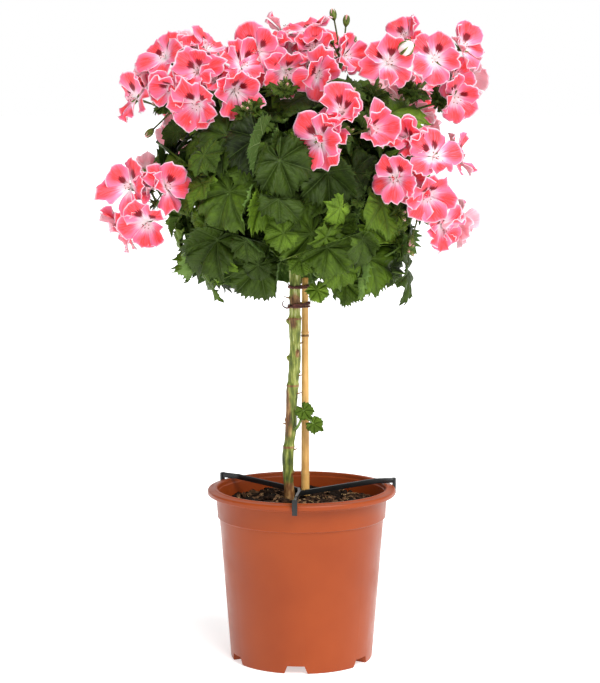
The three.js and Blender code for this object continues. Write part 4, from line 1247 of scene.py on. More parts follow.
leaf_face = leaf_material(
    "leaf_upper_face", ("#151f07", "#3a4e12", "#627f20", "#94b53a"), "#7c9a48", 0.55, False)
leaf_back = leaf_material(
    "leaf_underside", ("#3c5220", "#4f692e", "#66833a", "#86a44c"), "#8fa668", 0.7, True)
petal_face = petal_material("petal_face", False)
petal_back = petal_material("petal_underside", True)
stem_green = soft_tissue("hairy_green_stem", "#48622a", "#76913e", 0.6, 11)
stalk_dark = soft_tissue("flower_stalk_brown_green", "#33301a", "#5e6a30", 0.6, 7)
sepal_green = soft_tissue("hairy_sepal", "#37481a", "#7b8c3c", 0.65, 6)
bud_pink = soft_tissue("folded_petal_in_bud", "#d98a8f", "#f3c4bd", 0.6, 8)
bud_white = soft_tissue("petal_in_half_open_bud", "#fbe4e4", "#fffaf4", 0.6, 6)
hair_pale = soft_tissue("fine_plant_hair", "#a9b98a", "#cbd6ae", 0.5, 5)
dry_scale = soft_tissue("dry_stipule", "#6b4a2c", "#a07c50", 0.8, 3)
anther_dark = soft_tissue("anther", "#6b2a20", "#a85a3e", 0.7, 2)
filament_pale = soft_tissue("filament", "#f3cdd2", "#fbe6e6", 0.5, 5)

# The back of a thin sheet takes the material that follows its face's here
GREEN_PARTS = [
    leaf_face, leaf_back, sepal_green, stem_green, stalk_dark, bud_pink, hair_pale, bud_white]
BLOOM_PARTS = [petal_face, petal_back, filament_pale, anther_dark]


# Pot

def pot_rings():
    """The pot's outline, from under its foot up its outside, over the rim and down inside. The
    rim has a raised bead along its inner edge, slopes outwards and turns down in a lip."""
    top = POT_HEIGHT
    inner = POT_WALL
    lip = top - LIP_HEIGHT
    shoulder = SHOULDER_HEIGHT
    outline = [
        (BODY_FOOT_RADIUS - EDGE, 0), (BODY_FOOT_RADIUS, EDGE), (BODY_TOP_RADIUS, shoulder),
        (COLLAR_FOOT_RADIUS - 0.5, shoulder + 0.4), (COLLAR_FOOT_RADIUS + 0.25, shoulder + 1.3),
        (COLLAR_FOOT_RADIUS + 0.05, shoulder + 3), (COLLAR_TOP_RADIUS - 0.2, lip - 2.8),
        (COLLAR_TOP_RADIUS + 0.7, lip - 2.4), (COLLAR_TOP_RADIUS + 0.7, top - inner),
        (RIM_RADIUS - inner, top - inner), (RIM_RADIUS - inner, lip), (RIM_RADIUS, lip),
        (RIM_RADIUS, top - 2.6), (RIM_RADIUS - 0.9, top - 1.3), (COLLAR_TOP_RADIUS + 2.2, top - 0.7),
        (COLLAR_TOP_RADIUS + 1.2, top), (COLLAR_TOP_RADIUS - inner + EDGE, top),
        (COLLAR_TOP_RADIUS - inner, top - EDGE), (COLLAR_TOP_RADIUS - inner - 0.1, top - 4.4),
        (COLLAR_TOP_RADIUS - inner - 0.9, top - 5), (COLLAR_FOOT_RADIUS - inner, shoulder + SHOULDER_STEP),
        (BODY_TOP_RADIUS - inner, shoulder), (BODY_FOOT_RADIUS - inner, inner),
    ]
    return [(0, 0, height, radius) for radius, height in outline]


def channels(start, end, grow):
    """The six radial channels as one tool, grown on top and sides."""
    foot = CHANNEL_FOOT_WIDTH + 2 * grow
    top_share = (CHANNEL_TOP_WIDTH + 2 * grow) / foot
    tall = CHANNEL_HEIGHT + grow + 1
    middle = ((start + end) / 2, 0, tall / 2 - 1)
    size = (end - start, foot, tall)
    return joined("channels", [bar(size, middle, turn, top_share) for turn in CHANNEL_TURNS])


def pot_piece():
    pot = drawn_up(pot_rings(), POT_SIDES)
    apply_modifier(pot, "BEVEL", width=EDGE_ROUNDING * MM, segments=3, limit_method="ANGLE",
                   angle_limit=math.radians(25))
    humps = channels(CHANNEL_START - POT_WALL, BODY_FOOT_RADIUS + 4, POT_WALL)
    inside = BODY_FOOT_RADIUS - POT_WALL / 2
    core = drawn_up([(0, 0, 0.4, inside), (0, 0, CHANNEL_HEIGHT + 4, inside)], POT_SIDES // 2)
    cut(humps, "INTERSECT", core)
    cut(pot, "UNION", humps)
    cut(pot, "DIFFERENCE", channels(CHANNEL_START, CHANNEL_END, 0))
    drain = (DRAIN_LENGTH, DRAIN_WIDTH, DRAIN_HEIGHT)
    drain_place = (DRAIN_PLACE, 0, CHANNEL_HEIGHT + 1)
    drains = [bar(drain, drain_place, turn) for turn in CHANNEL_TURNS]
    cut(pot, "DIFFERENCE", joined("drains", drains))
    pot = joined("pot_moulding", [pot])
    dress(pot, pot_plastic())
    hand_in(smoothed(pot, 30), ["pot"])


# Soil

def soil_top(x, y):
    """The soil's height at a place: a mound, with soft lumps and clods on it."""
    radius = math.hypot(x, y)
    mound = SOIL_MOUND * math.cos(min(radius / MOUND_REACH, 1) * math.pi / 2) ** 2
    lumps = math.sin(x * 0.21 + 1) * math.cos(y * 0.17) + math.sin(x * 0.11 - y * 0.23)
    clods = noise.noise(Vector((x, y, 0)) / CLOD_SIZE)
    clods += 0.6 * noise.noise(Vector((x, y, 9)) / LUMP_SIZE)
    return SOIL_HEIGHT + mound + SOIL_RELIEF * 0.5 * lumps + CLOD_RELIEF * clods


def soil_bed():
    """The soil as one solid that fills the pot, over its channels and round trunk and cane."""
    gap = POT_WALL + GAP + SOIL_EASE
    edge = COLLAR_FOOT_RADIUS - gap
    rings = [
        (0, 0, POT_WALL + GAP, BODY_FOOT_RADIUS - gap), (0, 0, SHOULDER_HEIGHT, BODY_TOP_RADIUS - gap),
        (0, 0, SHOULDER_HEIGHT + SHOULDER_STEP + 1, edge)]
    rings += [(0, 0, SOIL_HEIGHT, edge * (1 - i / SOIL_RINGS)) for i in range(SOIL_RINGS)]
    bed = drawn_up(rings, SOIL_SIDES)
    for corner in bed.data.vertices:
        x, y, z = corner.co / MM
        if abs(z - SOIL_HEIGHT) < 0.1:
            corner.co.z = soil_top(x, y) * MM
    cut(bed, "DIFFERENCE", channels(CHANNEL_START - POT_WALL - GAP, CHANNEL_END, POT_WALL + GAP))
    x, y, low, _ = TRUNK_PLACES[0]
    trunk_hole = [(x, y, height, HOLE_RADIUS) for height in (low - 1, POT_HEIGHT)]
    cut(bed, "DIFFERENCE", drawn_up(trunk_hole, HOLE_SIDES))
    cane_hole = [(*place, radius + GAP) for place, radius in cane_places()]
    cut(bed, "DIFFERENCE", drawn_up(cane_hole, CANE_SIDES))
    return bed


def crumb():
    """The places and faces of one rounded crumb."""
    bpy.ops.object.select_all(action="DESELECT")
    bpy.ops.mesh.primitive_cube_add(size=2)
    made = bpy.context.object
    bpy.ops.object.mode_set(mode="EDIT")
    bpy.ops.mesh.select_all(action="SELECT")
    bpy.ops.mesh.subdivide(number_cuts=1)
    bpy.ops.transform.tosphere(value=0.8)
    bpy.ops.object.mode_set(mode="OBJECT")
    places = np.array([corner.co for corner in made.data.vertices])
    faces = np.array([list(face.vertices) for face in made.data.polygons])
    bpy.data.objects.remove(made)
    return places, faces


def on_soil(i, salt):
    """A place on the soil, clear of trunk and cane, or nothing."""
    radius = LOOSE_REACH * math.sqrt(chance(i, salt))
    turn = 2 * math.pi * chance(i, salt + 1)
    x, y = radius * math.cos(turn), radius * math.sin(turn)
    near_trunk = math.dist((x, y), TRUNK_PLACES[0][:2]) < TRUNK_ROOM
    if near_trunk or math.dist((x, y), CANE_FOOT[:2]) < CANE_ROOM:
        return None
    return vec([x, y, soil_top(x, y)])


def add_crumbs(loose, finish):
    """Crumbs of many sizes, each of its own shade, paler in front of the trunk."""
    places, faces = crumb()
    for i in range(CRUMBS):
        spot = on_soil(i, 41)
        if spot is None:
            continue
        size = CRUMB_SIZE + CRUMB_SPREAD * chance(i, 43) ** 3
        stretch = vec([1 + chance(i, 44), 0.7 + 0.6 * chance(i, 45), 0.5 + 0.4 * chance(i, 46)])
        lumps = 1 + 0.35 * np.sin(places @ vec([5, 7, 3]) + i)[:, None]
        axis = unit(vec([chance(i, 47) - 0.5, chance(i, 48) - 0.5, 1.2]))
        grown = turned(places * lumps * stretch * size, axis, 6.28 * chance(i, 49))
        pale = math.exp(-math.dist(spot[:2], PALE_PLACE) / PALE_REACH)
        loose.add(grown + spot + vec([0, 0, 0.2 * size]), faces, finish,
                  tint=0.75 * chance(i, 50) ** 2 + 0.3 * pale)


def add_fibres(loose, finish):
    """Coir fibres that lie on the soil or arch a little over it."""
    for i in range(FIBRES):
        spot = on_soil(i, 51)
        if spot is None:
            continue
        turn = 2 * math.pi * chance(i, 53)
        length = FIBRE_LENGTH + FIBRE_SPREAD * chance(i, 54)
        run = vec([math.cos(turn), math.sin(turn), 0]) * length
        if max(np.linalg.norm((spot + run)[:2]), np.linalg.norm(spot[:2])) > FIBRE_REACH:
            continue
        lift = vec([0, 0, 1.5 + 5 * chance(i, 55) ** 2])
        line = arc(spot, spot + run * 0.5 + lift + run[[1, 0, 2]] * 0.3, spot + run, 6)
        line[-1][2] = max(line[-1][2], soil_top(*line[-1][:2]))
        loose.add(*tube(line, np.full(6, 0.22 + 0.2 * chance(i, 56)), 4), finish,
                  tint=chance(i, 57))


def soil_piece():
    earth, fibre = potting_soil(), coir()
    loose = Shape([earth, fibre])
    add_crumbs(loose, earth)
    add_fibres(loose, fibre)
    bed = soil_bed()
    dress(bed, earth, fibre)
    keep_values(bed.data, "tint", np.full(len(bed.data.vertices), 0.2))
    soil = joined("soil_bed", [bed, loose.piece("crumbs")])
    hand_in(smoothed(soil), ["soil"])


# Trunk and cane

def trunk_line(heights):
    """The trunk's middle and radius at each height."""
    line = vec(TRUNK_PLACES)
    knots = [np.interp(heights, line[:, 2], line[:, k]) for k in (0, 1, 3)]
    soft = np.ones(9) / 9
    x, y, share = (np.convolve(np.pad(k, 4, mode="edge"), soft, mode="valid") for k in knots)
    return x, y, share * TRUNK_RADIUS


def trunk_at(height):
    """The trunk's middle and radius at one height."""
    x, y, radius = (values[8] for values in trunk_line(np.linspace(height - 8, height + 8, 17)))
    return vec([x, y, height]), radius


def on_trunk(height, turn):
    """A place on the trunk's skin, and the way out from it."""
    middle, radius = trunk_at(height)
    out = vec([math.cos(math.radians(turn)), math.sin(math.radians(turn)), 0])
    return middle + out * radius, out


def trunk_core(heights, x, y, radius):
    """The trunk drawn up from its foot, with ring scars, ribs and lumps."""
    for scar in RING_SCARS:
        radius = radius + SCAR_RISE * np.exp(-((heights - scar) / SCAR_WIDTH) ** 2)
        radius = radius - NECK_DEPTH * np.exp(-((heights - scar - NECK_RISE) / NECK_WIDTH) ** 2)
    flare, flare_from, flare_length = FOOT_FLARE
    swell, swell_from, swell_length = TOP_SWELL
    radius = radius + flare * smooth((flare_from - heights) / flare_length)
    radius = radius + swell * smooth((heights - swell_from) / swell_length)
    trunk = drawn_up(list(zip(x, y, heights, radius)), TRUNK_SIDES)
    for corner in trunk.data.vertices:
        place = corner.co / MM
        turn = math.atan2(place.y - np.interp(place.z, heights, y),
                          place.x - np.interp(place.z, heights, x))
        out = Vector((math.cos(turn), math.sin(turn), 0))
        ribs = noise.noise(Vector((3 * math.cos(turn), 3 * math.sin(turn), place.z / RIBS[1])))
        lumps = noise.noise(place / BARK_LUMPS[1])
        corner.co += out * (RIBS[0] * ribs + BARK_LUMPS[0] * lumps) * MM
    return trunk


def trunk_knobs(bark):
    """Old buds and leaf bases, the knuckle at the top and the stubs that grow from it."""
    shape = Shape([bark])
    for height, turn, size in KNOBS:
        spot, out = on_trunk(height, turn)
        ahead = unit(out + vec([0, 0, 0.55]))
        line = [spot - out * 2, spot, spot + ahead * size * 0.6, spot + ahead * size]
        shape.add(*tube(line, vec(KNOB_RADII) * size, 8), bark)
    for direction in DIRECTIONS:
        line = [CROWN + direction * (STUB_START + STUB_REACH * k / 4) for k in range(5)]
        shape.add(*tube(line, STUB_RADII, 10), bark)
    ball = [CROWN + vec([0, 0, height]) for height in KNUCKLE_HEIGHTS]
    shape.add(*tube(ball, KNUCKLE_RADII, 16), bark)
    return shape.piece("knobs")


def trunk_scales(bark):
    """Dry stipules that stand off the trunk."""
    shape = Shape([bark, dry_scale])
    for height, turn, length in STIPULES:
        spot, out = on_trunk(height, turn)
        bend = spot + out * length * 0.5 + vec([0, 0, length * 0.1])
        line = arc(spot - out * 0.6, bend, spot + out * length + vec([0, 0, length * 0.35]), 6)
        shape.add(*tube(line, STIPULE_RADII, 6), dry_scale)
    return shape.piece("scales")


def trunk_piece():
    bark = trunk_bark()
    heights = np.arange(TRUNK_PLACES[0][2], TRUNK_PLACES[-1][2] + 1, TRUNK_STEP)
    x, y, radius = trunk_line(heights)
    trunk = joined("woody_trunk", [trunk_core(heights, x, y, radius), trunk_knobs(bark)])
    apply_modifier(trunk, "REMESH", mode="VOXEL", voxel_size=TRUNK_GRAIN * MM)
    apply_modifier(trunk, "SMOOTH", factor=0.5, iterations=3)
    dress(trunk, bark, dry_scale)
    places = [corner.co / MM for corner in trunk.data.vertices]
    keep_values(trunk.data, "tint", browned(places, heights, x, y))
    trunk = joined("woody_trunk", [trunk, trunk_scales(bark)])
    hand_in(smoothed(trunk), ["trunk"])


def browned(places, heights, x, y):
    """How far the bark is browned at each place, from the patches' heights and directions."""
    places = vec(places)
    across = places[:, 0] - np.interp(places[:, 2], heights, x)
    deep = places[:, 1] - np.interp(places[:, 2], heights, y)
    turn = np.degrees(np.arctan2(deep, across))
    share = np.zeros(len(places))
    for height, toward, tall, wide, most in BROWNED:
        off = (turn - toward + 180) % 360 - 180
        near = most * np.exp(-((places[:, 2] - height) / tall) ** 2 - (off / wide) ** 2)
        share = np.maximum(share, near)
    return share


def cane_at(height):
    """The cane's middle and radius at a height, between its nodes."""
    share = (height - CANE_FOOT[2]) / (CANE_TOP[2] - CANE_FOOT[2])
    return lerp(CANE_FOOT, CANE_TOP, share), lerp(CANE_FOOT_RADIUS, CANE_TOP_RADIUS, share)


def cane_places():
    """The cane's middle and radius, close together at its nodes and over its ends."""
    heights = list(np.linspace(CANE_FOOT[2], CANE_TOP[2], 24))
    for node in CANE_NODES:
        heights = [h for h in heights if abs(h - node) > 7] + [node + step for step in SWELL_HEIGHTS]
    made = []
    for height in sorted(heights):
        middle, radius = cane_at(height)
        for node, most in zip(CANE_NODES, CANE_SWELLS):
            radius += most * np.interp(height - node, SWELL_HEIGHTS, SWELL_RADII, left=0, right=0)
        made.append((middle, radius))
    return made


def cane_piece():
    cane = drawn_up([(*place, radius) for place, radius in cane_places()], CANE_SIDES)
    apply_modifier(cane, "BEVEL", width=0.4 * MM, segments=2, limit_method="ANGLE",
                   angle_limit=math.radians(60))
    cane = joined("bamboo_cane", [cane])
    dress(cane, bamboo())
    hand_in(smoothed(cane, 40), ["cane"])


# Brace and ties

def brace_piece():
    """The solid's own shape, with its flat faces made whole and its edges rounded."""
    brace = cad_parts["stem_brace"].copy()
    brace.data = brace.data.copy()
    bpy.context.scene.collection.objects.link(brace)
    close_doubles(brace)
    bpy.ops.object.mode_set(mode="EDIT")
    bpy.ops.mesh.select_all(action="SELECT")
    bpy.ops.mesh.dissolve_limited(angle_limit=math.radians(4))
    bpy.ops.object.mode_set(mode="OBJECT")
    apply_modifier(brace, "BEVEL", width=0.55 * MM, segments=3, limit_method="ANGLE",
                   angle_limit=math.radians(40))
    brace = joined("three_arm_brace", [brace])
    dress(brace, plain_plastic("moulded_black_polypropylene", "#07090a", "#0f1213", 0.36, 9))
    hand_in(smoothed(brace, 40), ["stem_brace"])


def belt(height, slack):
    """The line of a band pulled tight round trunk and cane at a height."""
    trunk, trunk_radius = trunk_at(height)
    cane, cane_radius = cane_at(height)
    across = cane - trunk
    ahead = math.atan2(across[1], across[0])
    lean = math.acos((trunk_radius - cane_radius) / np.linalg.norm(across))
    round_trunk = trunk, trunk_radius, np.linspace(ahead + lean, ahead + 2 * math.pi - lean, 40)
    round_cane = cane, cane_radius, np.linspace(ahead - lean, ahead + lean, 24)
    line = []
    for middle, radius, turns in (round_trunk, round_cane):
        way = np.stack([np.cos(turns), np.sin(turns), 0 * turns], 1)
        line.append(middle + way * (radius + slack))
    return spaced(np.concatenate(line + [line[0][:4]]), 90)


def twisted(line, part):
    """One of two strands that wind round each other along a line."""
    turn = run_along(line) / TIE_TWIST * 2 * math.pi + part * math.pi
    ahead = unit(np.gradient(line, axis=0))
    side = unit(np.cross(ahead, [0, 0, 1]))
    rise = np.cross(side, ahead)
    return line + (np.cos(turn)[:, None] * side + np.sin(turn)[:, None] * rise) * TIE_STRAND * 0.8


def tie_piece(node, height, wraps, ends):
    """A tie wound round trunk and cane, each wrap with a tilt of its own."""
    wire = plain_plastic("brown_plastic_coated_wire", "#3a1810", "#6d3626", 0.4, 3)
    shape = Shape([wire])
    for wrap in range(wraps):
        line = belt(height, 2 * TIE_STRAND)
        lift = (wrap - (wraps - 1) / 2) * TIE_SPACING * TIE_STRAND
        tilt = (line[:, 0] - line[:, 0].mean()) * (0.12 - 0.16 * chance(wrap, height)) + lift
        line = line + np.stack([0 * tilt, 0 * tilt, tilt], 1)
        for part in (0, 1):
            shape.add(*tube(twisted(line, part), np.full(len(line), TIE_STRAND), 6), wire)
    for end in ends:
        places = vec(end) + vec([0, 0, height])
        shape.add(*tube(spaced(smooth_line(places), 22), np.linspace(1.0, 0.42, 22), 8), wire)
    hand_in(smoothed(shape.piece(node + "_strands")), [node])


# Fine leaves

def leaf_columns(teeth, tooth):
    """Angles of a leaf's columns, and how far each one stands out as a tooth."""
    angles, heights = [], []
    for i in range(teeth):
        for share, height in tooth[0] if i < teeth / 2 else tooth[1]:
            angles.append(SINUS_ANGLE * (2 * (i + share) / teeth - 1))
            heights.append(height * (0.6 + 0.8 * chance(i, 7)))
    return np.array(angles + [SINUS_ANGLE]), np.array(heights + [0.0])


FULL_EDGE = leaf_columns(TEETH, FULL_TOOTH)
FILLER_EDGE = leaf_columns(FILLER_TEETH, PLAIN_TOOTH)
YOUNG_EDGE = leaf_columns(YOUNG_TEETH, PLAIN_TOOTH)
SHOOT_EDGE = leaf_columns(SHOOT_TEETH, FULL_TOOTH)


def fine_height(angle, share, wave, curl):
    """The blade's height: pleated between its sunken veins, folded up a little along its middle,
    curled at the margin and ruffled there."""
    ridge = 0.5 - 0.5 * np.cos(angle / LEAF_LOBE * 2 * math.pi)
    fold = 0.5 - 0.5 * np.cos(angle / LEAF_LOBE * 4 * math.pi)
    pleat = PLEAT * share * (ridge + 0.45 * fold - 0.5)
    keel = (0.1 + 0.12 * curl) * share * np.abs(np.sin(angle)) ** 1.3
    ruffle = 0.06 * share ** 3 * np.sin(9 * angle + 2 * wave)
    ruffle += 0.04 * share ** 3 * np.sin(17 * angle + 3 * wave)
    ruffle += 0.015 * share * np.sin(31 * share + 5 * angle + wave)
    return leaf_height(share, angle, wave) + pleat + keel + ruffle - CURL * curl * share ** 3


def leaf_shares(columns, teeth, rings, depth, wave):
    """How far out each place of a fine leaf is, ring by ring: its lobes are wavy, it is folded in
    beside its petiole, and its outermost ring is toothed."""
    turn = np.abs(columns) / math.pi
    lobes = 1 + depth * np.cos(columns / LEAF_LOBE * 2 * math.pi)
    lobes = lobes + SCALLOP_DEPTH * np.cos(columns / LEAF_LOBE * 6 * math.pi)
    lobes = lobes + 0.03 * np.sin(5 * columns + wave)
    folded = smooth((np.abs(columns) - FOLD_START) / FOLD_WIDTH)
    outline = (1 - 0.36 * turn ** 1.5) * lobes * (1 - 0.4 * folded)
    toothed = outline * (BLADE_SHARE + TOOTH_DEPTH * teeth)
    return np.concatenate([outline * BLADE_SHARE * ring for ring in rings[:-1]] + [toothed])


def add_leaf(shape, plan, walls, tint, rings=LEAF_RINGS, edge=FULL_EDGE, depth=LOBE_FINE_DEPTH):
    columns, teeth = edge
    wave = plan["wave"]
    angles = np.tile(columns, len(rings))
    shares = leaf_shares(columns, teeth, rings, depth + 0.03 * tint, wave)
    heights = fine_height(angles, shares, wave, chance(wave, 61))
    bent = np.concatenate([np.zeros(len(angles) - len(teeth)), teeth])
    heights = heights - 0.05 * bent * np.sin(4 * angles + wave)
    targets = on_leaf(plan, angles, shares, heights)
    places = reach(plan["root"], targets, plan["upper"], walls, BLADE_THICK / 2 + WALL_MARGIN)
    flat = np.stack([np.cos(angles) * shares, np.sin(angles) * shares], axis=1)
    faces = grid_faces(len(columns), len(rings))[:, ::-1]
    shape.add(places, faces, leaf_face, uv=0.5 + 0.4 * flat, tint=tint)


def fan_of(plan, walls):
    """The leaf as a few triangles, for finding whether it crosses another."""
    rim = coarse_rim(plan, walls)
    places = [Vector(p) for p in np.vstack([plan["root"], rim])]
    count = len(rim)
    return BVHTree.FromPolygons(places, [(0, 1 + k, 1 + (k + 1) % count) for k in range(count)])


def scattered(plan, taken, salt):
    """Small leaves spread over the crown where there is room for them."""
    count, low, high, first_size, size_range, clearance = plan
    made = []
    for i in range(count):
        out = spiral(i, count, 0.97, 1.8, salt)
        place = FOLIAGE + out * FILLER_RADII * lerp(low, high, chance(i, salt + 29))
        full = any(np.linalg.norm(place - other) < room for other, room in taken)
        if full or any(np.linalg.norm(place - leaf[2]) < clearance for leaf in made):
            continue
        hang = hanging(out, 2.6 * (chance(i, salt + 30) - 0.5))
        along = unit(hang * 0.85 + out * (0.1 + 0.5 * chance(i, salt + 31)))
        made.append(leaf_ends(place, along, first_size + size_range * chance(i, salt + 32)))
    return made


LEAF_ROOM = [(leaf[2], LEAF_CLEARANCE) for leaf in LEAVES] + CLEARINGS
BLOOM_ROOM = [(bloom["place"], BLOOM_CLEARANCE) for index, stem in enumerate(STEMS)
              for umbel in stem["umbels"] for bloom in blooms_of(index, umbel)]
SMALL_LEAVES = scattered(FILLERS, LEAF_ROOM, 2.1)
FILLER_COUNT = len(SMALL_LEAVES)
SMALL_LEAVES += scattered(YOUNG, LEAF_ROOM + BLOOM_ROOM, 4.3)


def add_hairs(shape, line, radii, count, seed):
    """Fine hairs that stand off a stalk."""
    for k in range(count):
        i = int(chance(k, seed) * (len(line) - 1))
        ahead = unit(line[i + 1] - line[i])
        side = unit(np.cross(ahead, vec([0.31, 0.52, 0.79])))
        out = turned(side, ahead, 6.28 * chance(k, seed + 1))
        foot = lerp(line[i], line[i + 1], chance(k, seed + 2)) + out * radii[i] * 0.9
        tip = foot + (out + 0.3 * ahead) * (0.8 + 0.8 * chance(k, seed + 3))
        shape.add(*tube([foot, tip], [0.09, 0.03], 4), hair_pale)


# Fine blooms

PETAL_U = np.tile(np.linspace(-1, 1, PETAL_COLUMNS + 1), PETAL_ROWS + 1)
PETAL_V = np.repeat(np.linspace(0, 1, PETAL_ROWS + 1) ** 0.85, PETAL_COLUMNS + 1)
PETAL_FACES = grid_faces(PETAL_COLUMNS + 1, PETAL_ROWS + 1)


def petal_height(u, v, share, seed):
    """How far a petal's places stand off its flat: bent back or cupped, and ruffled."""
    phase = 6.28 * chance(seed, 4)
    height = (0.5 * chance(seed, 6) - 0.38) * share ** 2
    height += 0.3 * (chance(seed, 7) - 0.35) * u ** 2 * v
    height += 0.095 * v ** 3 * np.sin(2.6 * u * math.pi + phase) * (0.4 + chance(seed, 5))
    height += 0.05 * v ** 5 * np.sin(5.1 * u * math.pi + 2 * phase)
    return height + 0.05 * np.exp(-(u / 0.2) ** 2) * v * (1 - v)


def petal_outline(seed, half):
    """Each place's angle from the petal's middle line, and its share of the petal's length."""
    u, v = PETAL_U, PETAL_V
    phase = 6.28 * chance(seed, 8)
    turn = u * half * (0.62 + 0.38 * smooth(v / 0.5))
    notch = 0.07 * np.exp(-(u / 0.2) ** 2) * v ** 3 * chance(seed, 2)
    margin = v ** 3 * (0.03 * np.sin(5 * u + phase) + 0.016 * np.sin(11 * u + 2 * phase))
    return turn, v * (1.06 - 0.3 * np.abs(u) ** 2.4 * v ** 1.5) - notch + margin


def petal_ways(bloom, middle, pitch, roll):
    """A petal's own directions: ahead, across and off its face."""
    facing, up = bloom["facing"], bloom["up"]
    side = np.cross(up, facing)
    radial = math.cos(middle) * up + math.sin(middle) * side
    across = math.cos(middle) * side - math.sin(middle) * up
    ahead = math.cos(pitch) * radial + math.sin(pitch) * facing
    off = math.cos(pitch) * facing - math.sin(pitch) * radial
    return (ahead, math.cos(roll) * across + math.sin(roll) * off,
            math.cos(roll) * off - math.sin(roll) * across)


def add_petal(shape, bloom, number, count, seed):
    """A petal, ruffled and set by chance. The two upper ones are broader and have a blotch."""
    upper_two = number in (0, count - 1)
    half = PETAL_HALF_WIDTH * (1.12 if upper_two else 0.94) * (0.9 + 0.2 * chance(seed, 1))
    turn, share = petal_outline(seed, half)
    height = petal_height(PETAL_U, PETAL_V, share, seed)
    middle = 2 * math.pi * (number + 0.5 + 0.24 * (chance(seed, 10) - 0.5)) / count
    pitch = bloom["opening"] + PETAL_PITCH * (chance(seed, 3) - 0.5) + (0.1 if upper_two else -0.1)
    roll = PETAL_ROLL * (chance(seed, 11) - 0.5) - 0.1
    ahead, across, off = petal_ways(bloom, middle, pitch, roll)
    flat = (np.cos(turn) * share)[:, None] * ahead + (np.sin(turn) * share)[:, None] * across
    length = bloom["size"] * (0.9 + 0.2 * chance(seed, 12))
    targets = bloom["place"] + (flat + height[:, None] * off) * length
    places = reach(bloom["place"], targets, bloom["facing"], bloom["walls"],
                   PETAL_THICK / 2 + WALL_MARGIN)
    shape.add(places, PETAL_FACES, petal_face, uv=np.stack([(PETAL_U + 1) / 2, PETAL_V], axis=1),
              tint=chance(seed, 9), mark=0.92 + 0.08 * chance(seed, 13) if upper_two else 0.15)


def add_stamens(shape, bloom, seed):
    place, facing, up = bloom["place"], bloom["facing"], bloom["up"]
    side = np.cross(up, facing)
    for k in range(STAMENS):
        turn = k / STAMENS * 2 * math.pi + seed
        lean = 0.3 + 0.3 * chance(seed, k)
        out = math.cos(turn) * up + math.sin(turn) * side
        tip = place + facing * (7 + 2 * chance(k, seed)) + out * 7 * lean - up * 1.2
        bend = place + facing * 5 + out * 0.8
        line = arc(place + facing * 0.5, bend, tip, 4)
        shape.add(*tube(line, [0.28, 0.25, 0.22, 0.2], 4), filament_pale)
        tilt = unit(out + facing * 0.3)
        ends = [tip - tilt * 0.8, tip - tilt * 0.4, tip + tilt * 0.4, tip + tilt * 0.8]
        shape.add(*tube(ends, [0.2, 0.45, 0.45, 0.2], 6), anther_dark)


def flower_piece(index):
    sheet, solid = Shape(BLOOM_PARTS), Shape(BLOOM_PARTS)
    seed = index * 97
    for umbel in STEMS[index]["umbels"]:
        for bloom in shown_blooms(index, umbel):
            count = PETAL_COUNT + (chance(seed, 14) > 0.6)
            for number in range(count):
                add_petal(sheet, bloom, number, count, seed)
                seed += 1
            add_stamens(solid, bloom, seed)
    piece = grown_piece(f"blooms_{index + 1}", sheet, solid, FINE_PETAL_THICK)
    head = f"flower_head_{index + 1}"
    nodes = [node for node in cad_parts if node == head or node.startswith(head + "_bloom")]
    hand_in(piece, nodes)


# Green parts of an umbel

SEPAL_ROWS = np.linspace(0, 1, 5)
SEPAL_COLUMNS = (-1, -0.4, 0.4, 1)
SEPAL_FACES = grid_faces(len(SEPAL_COLUMNS), len(SEPAL_ROWS))


def sepal_places(base, facing, out, length, width, curl):
    """A pointed leaflet, three faces wide, from its base outwards."""
    across = np.cross(facing, out)
    places = []
    for t in SEPAL_ROWS:
        half = width / 2 * (0.55 + 0.45 * math.sin(math.pi * min(t * 1.5, 1))) * (1 - t ** 2.2) + 0.05
        middle = base + (facing * (t * (1 - curl)) + out * (0.12 + t * curl)) * length
        for s in SEPAL_COLUMNS:
            places.append(middle + across * half * s + facing * 0.3 * abs(s) * half)
    return np.array(places)


def add_whorl(shape, base, facing, count, length, width, curl, salt):
    """Pointed leaflets in a ring round a stalk."""
    up = unit(np.cross(facing, vec([0.3, 0.5, 0.81])))
    for k in range(count):
        out = turned(up, facing, (k + 0.3 * chance(k, salt)) / count * 2 * math.pi)
        grown = length * (0.8 + 0.4 * chance(k, salt + 1))
        bent = curl * (0.8 + 0.4 * chance(k, salt + 2))
        places = sepal_places(base, facing, out, grown, width, bent)
        shape.add(places, SEPAL_FACES, sepal_green, tint=chance(k, salt))


def bud_outline(shares):
    """How thick a bud is along its length, as a share of its widest place."""
    return np.sin(math.pi * shares ** 0.85) ** 0.75


def add_bud_sepals(sheet, foot, facing, length, radius, held):
    """Sepals that lie on a bud and cover a share of it."""
    up = unit(np.cross(facing, vec([0.3, 0.5, 0.81])))
    for k in range(SEPALS):
        out = turned(up, facing, k / SEPALS * 2 * math.pi)
        across = np.cross(facing, out)
        places = []
        for t in SEPAL_ROWS:
            around = radius * 0.93 * bud_outline(max(t * 0.82, 0.02)) + 0.3
            half = around * held * (1 - t ** 3) + 0.05
            middle = foot + facing * length * t * 0.92
            for s in SEPAL_COLUMNS:
                turn = s * half / around
                places.append(middle + (out * math.cos(turn) + across * math.sin(turn)) * around)
        sheet.add(places, SEPAL_FACES, sepal_green, tint=chance(k, 3))


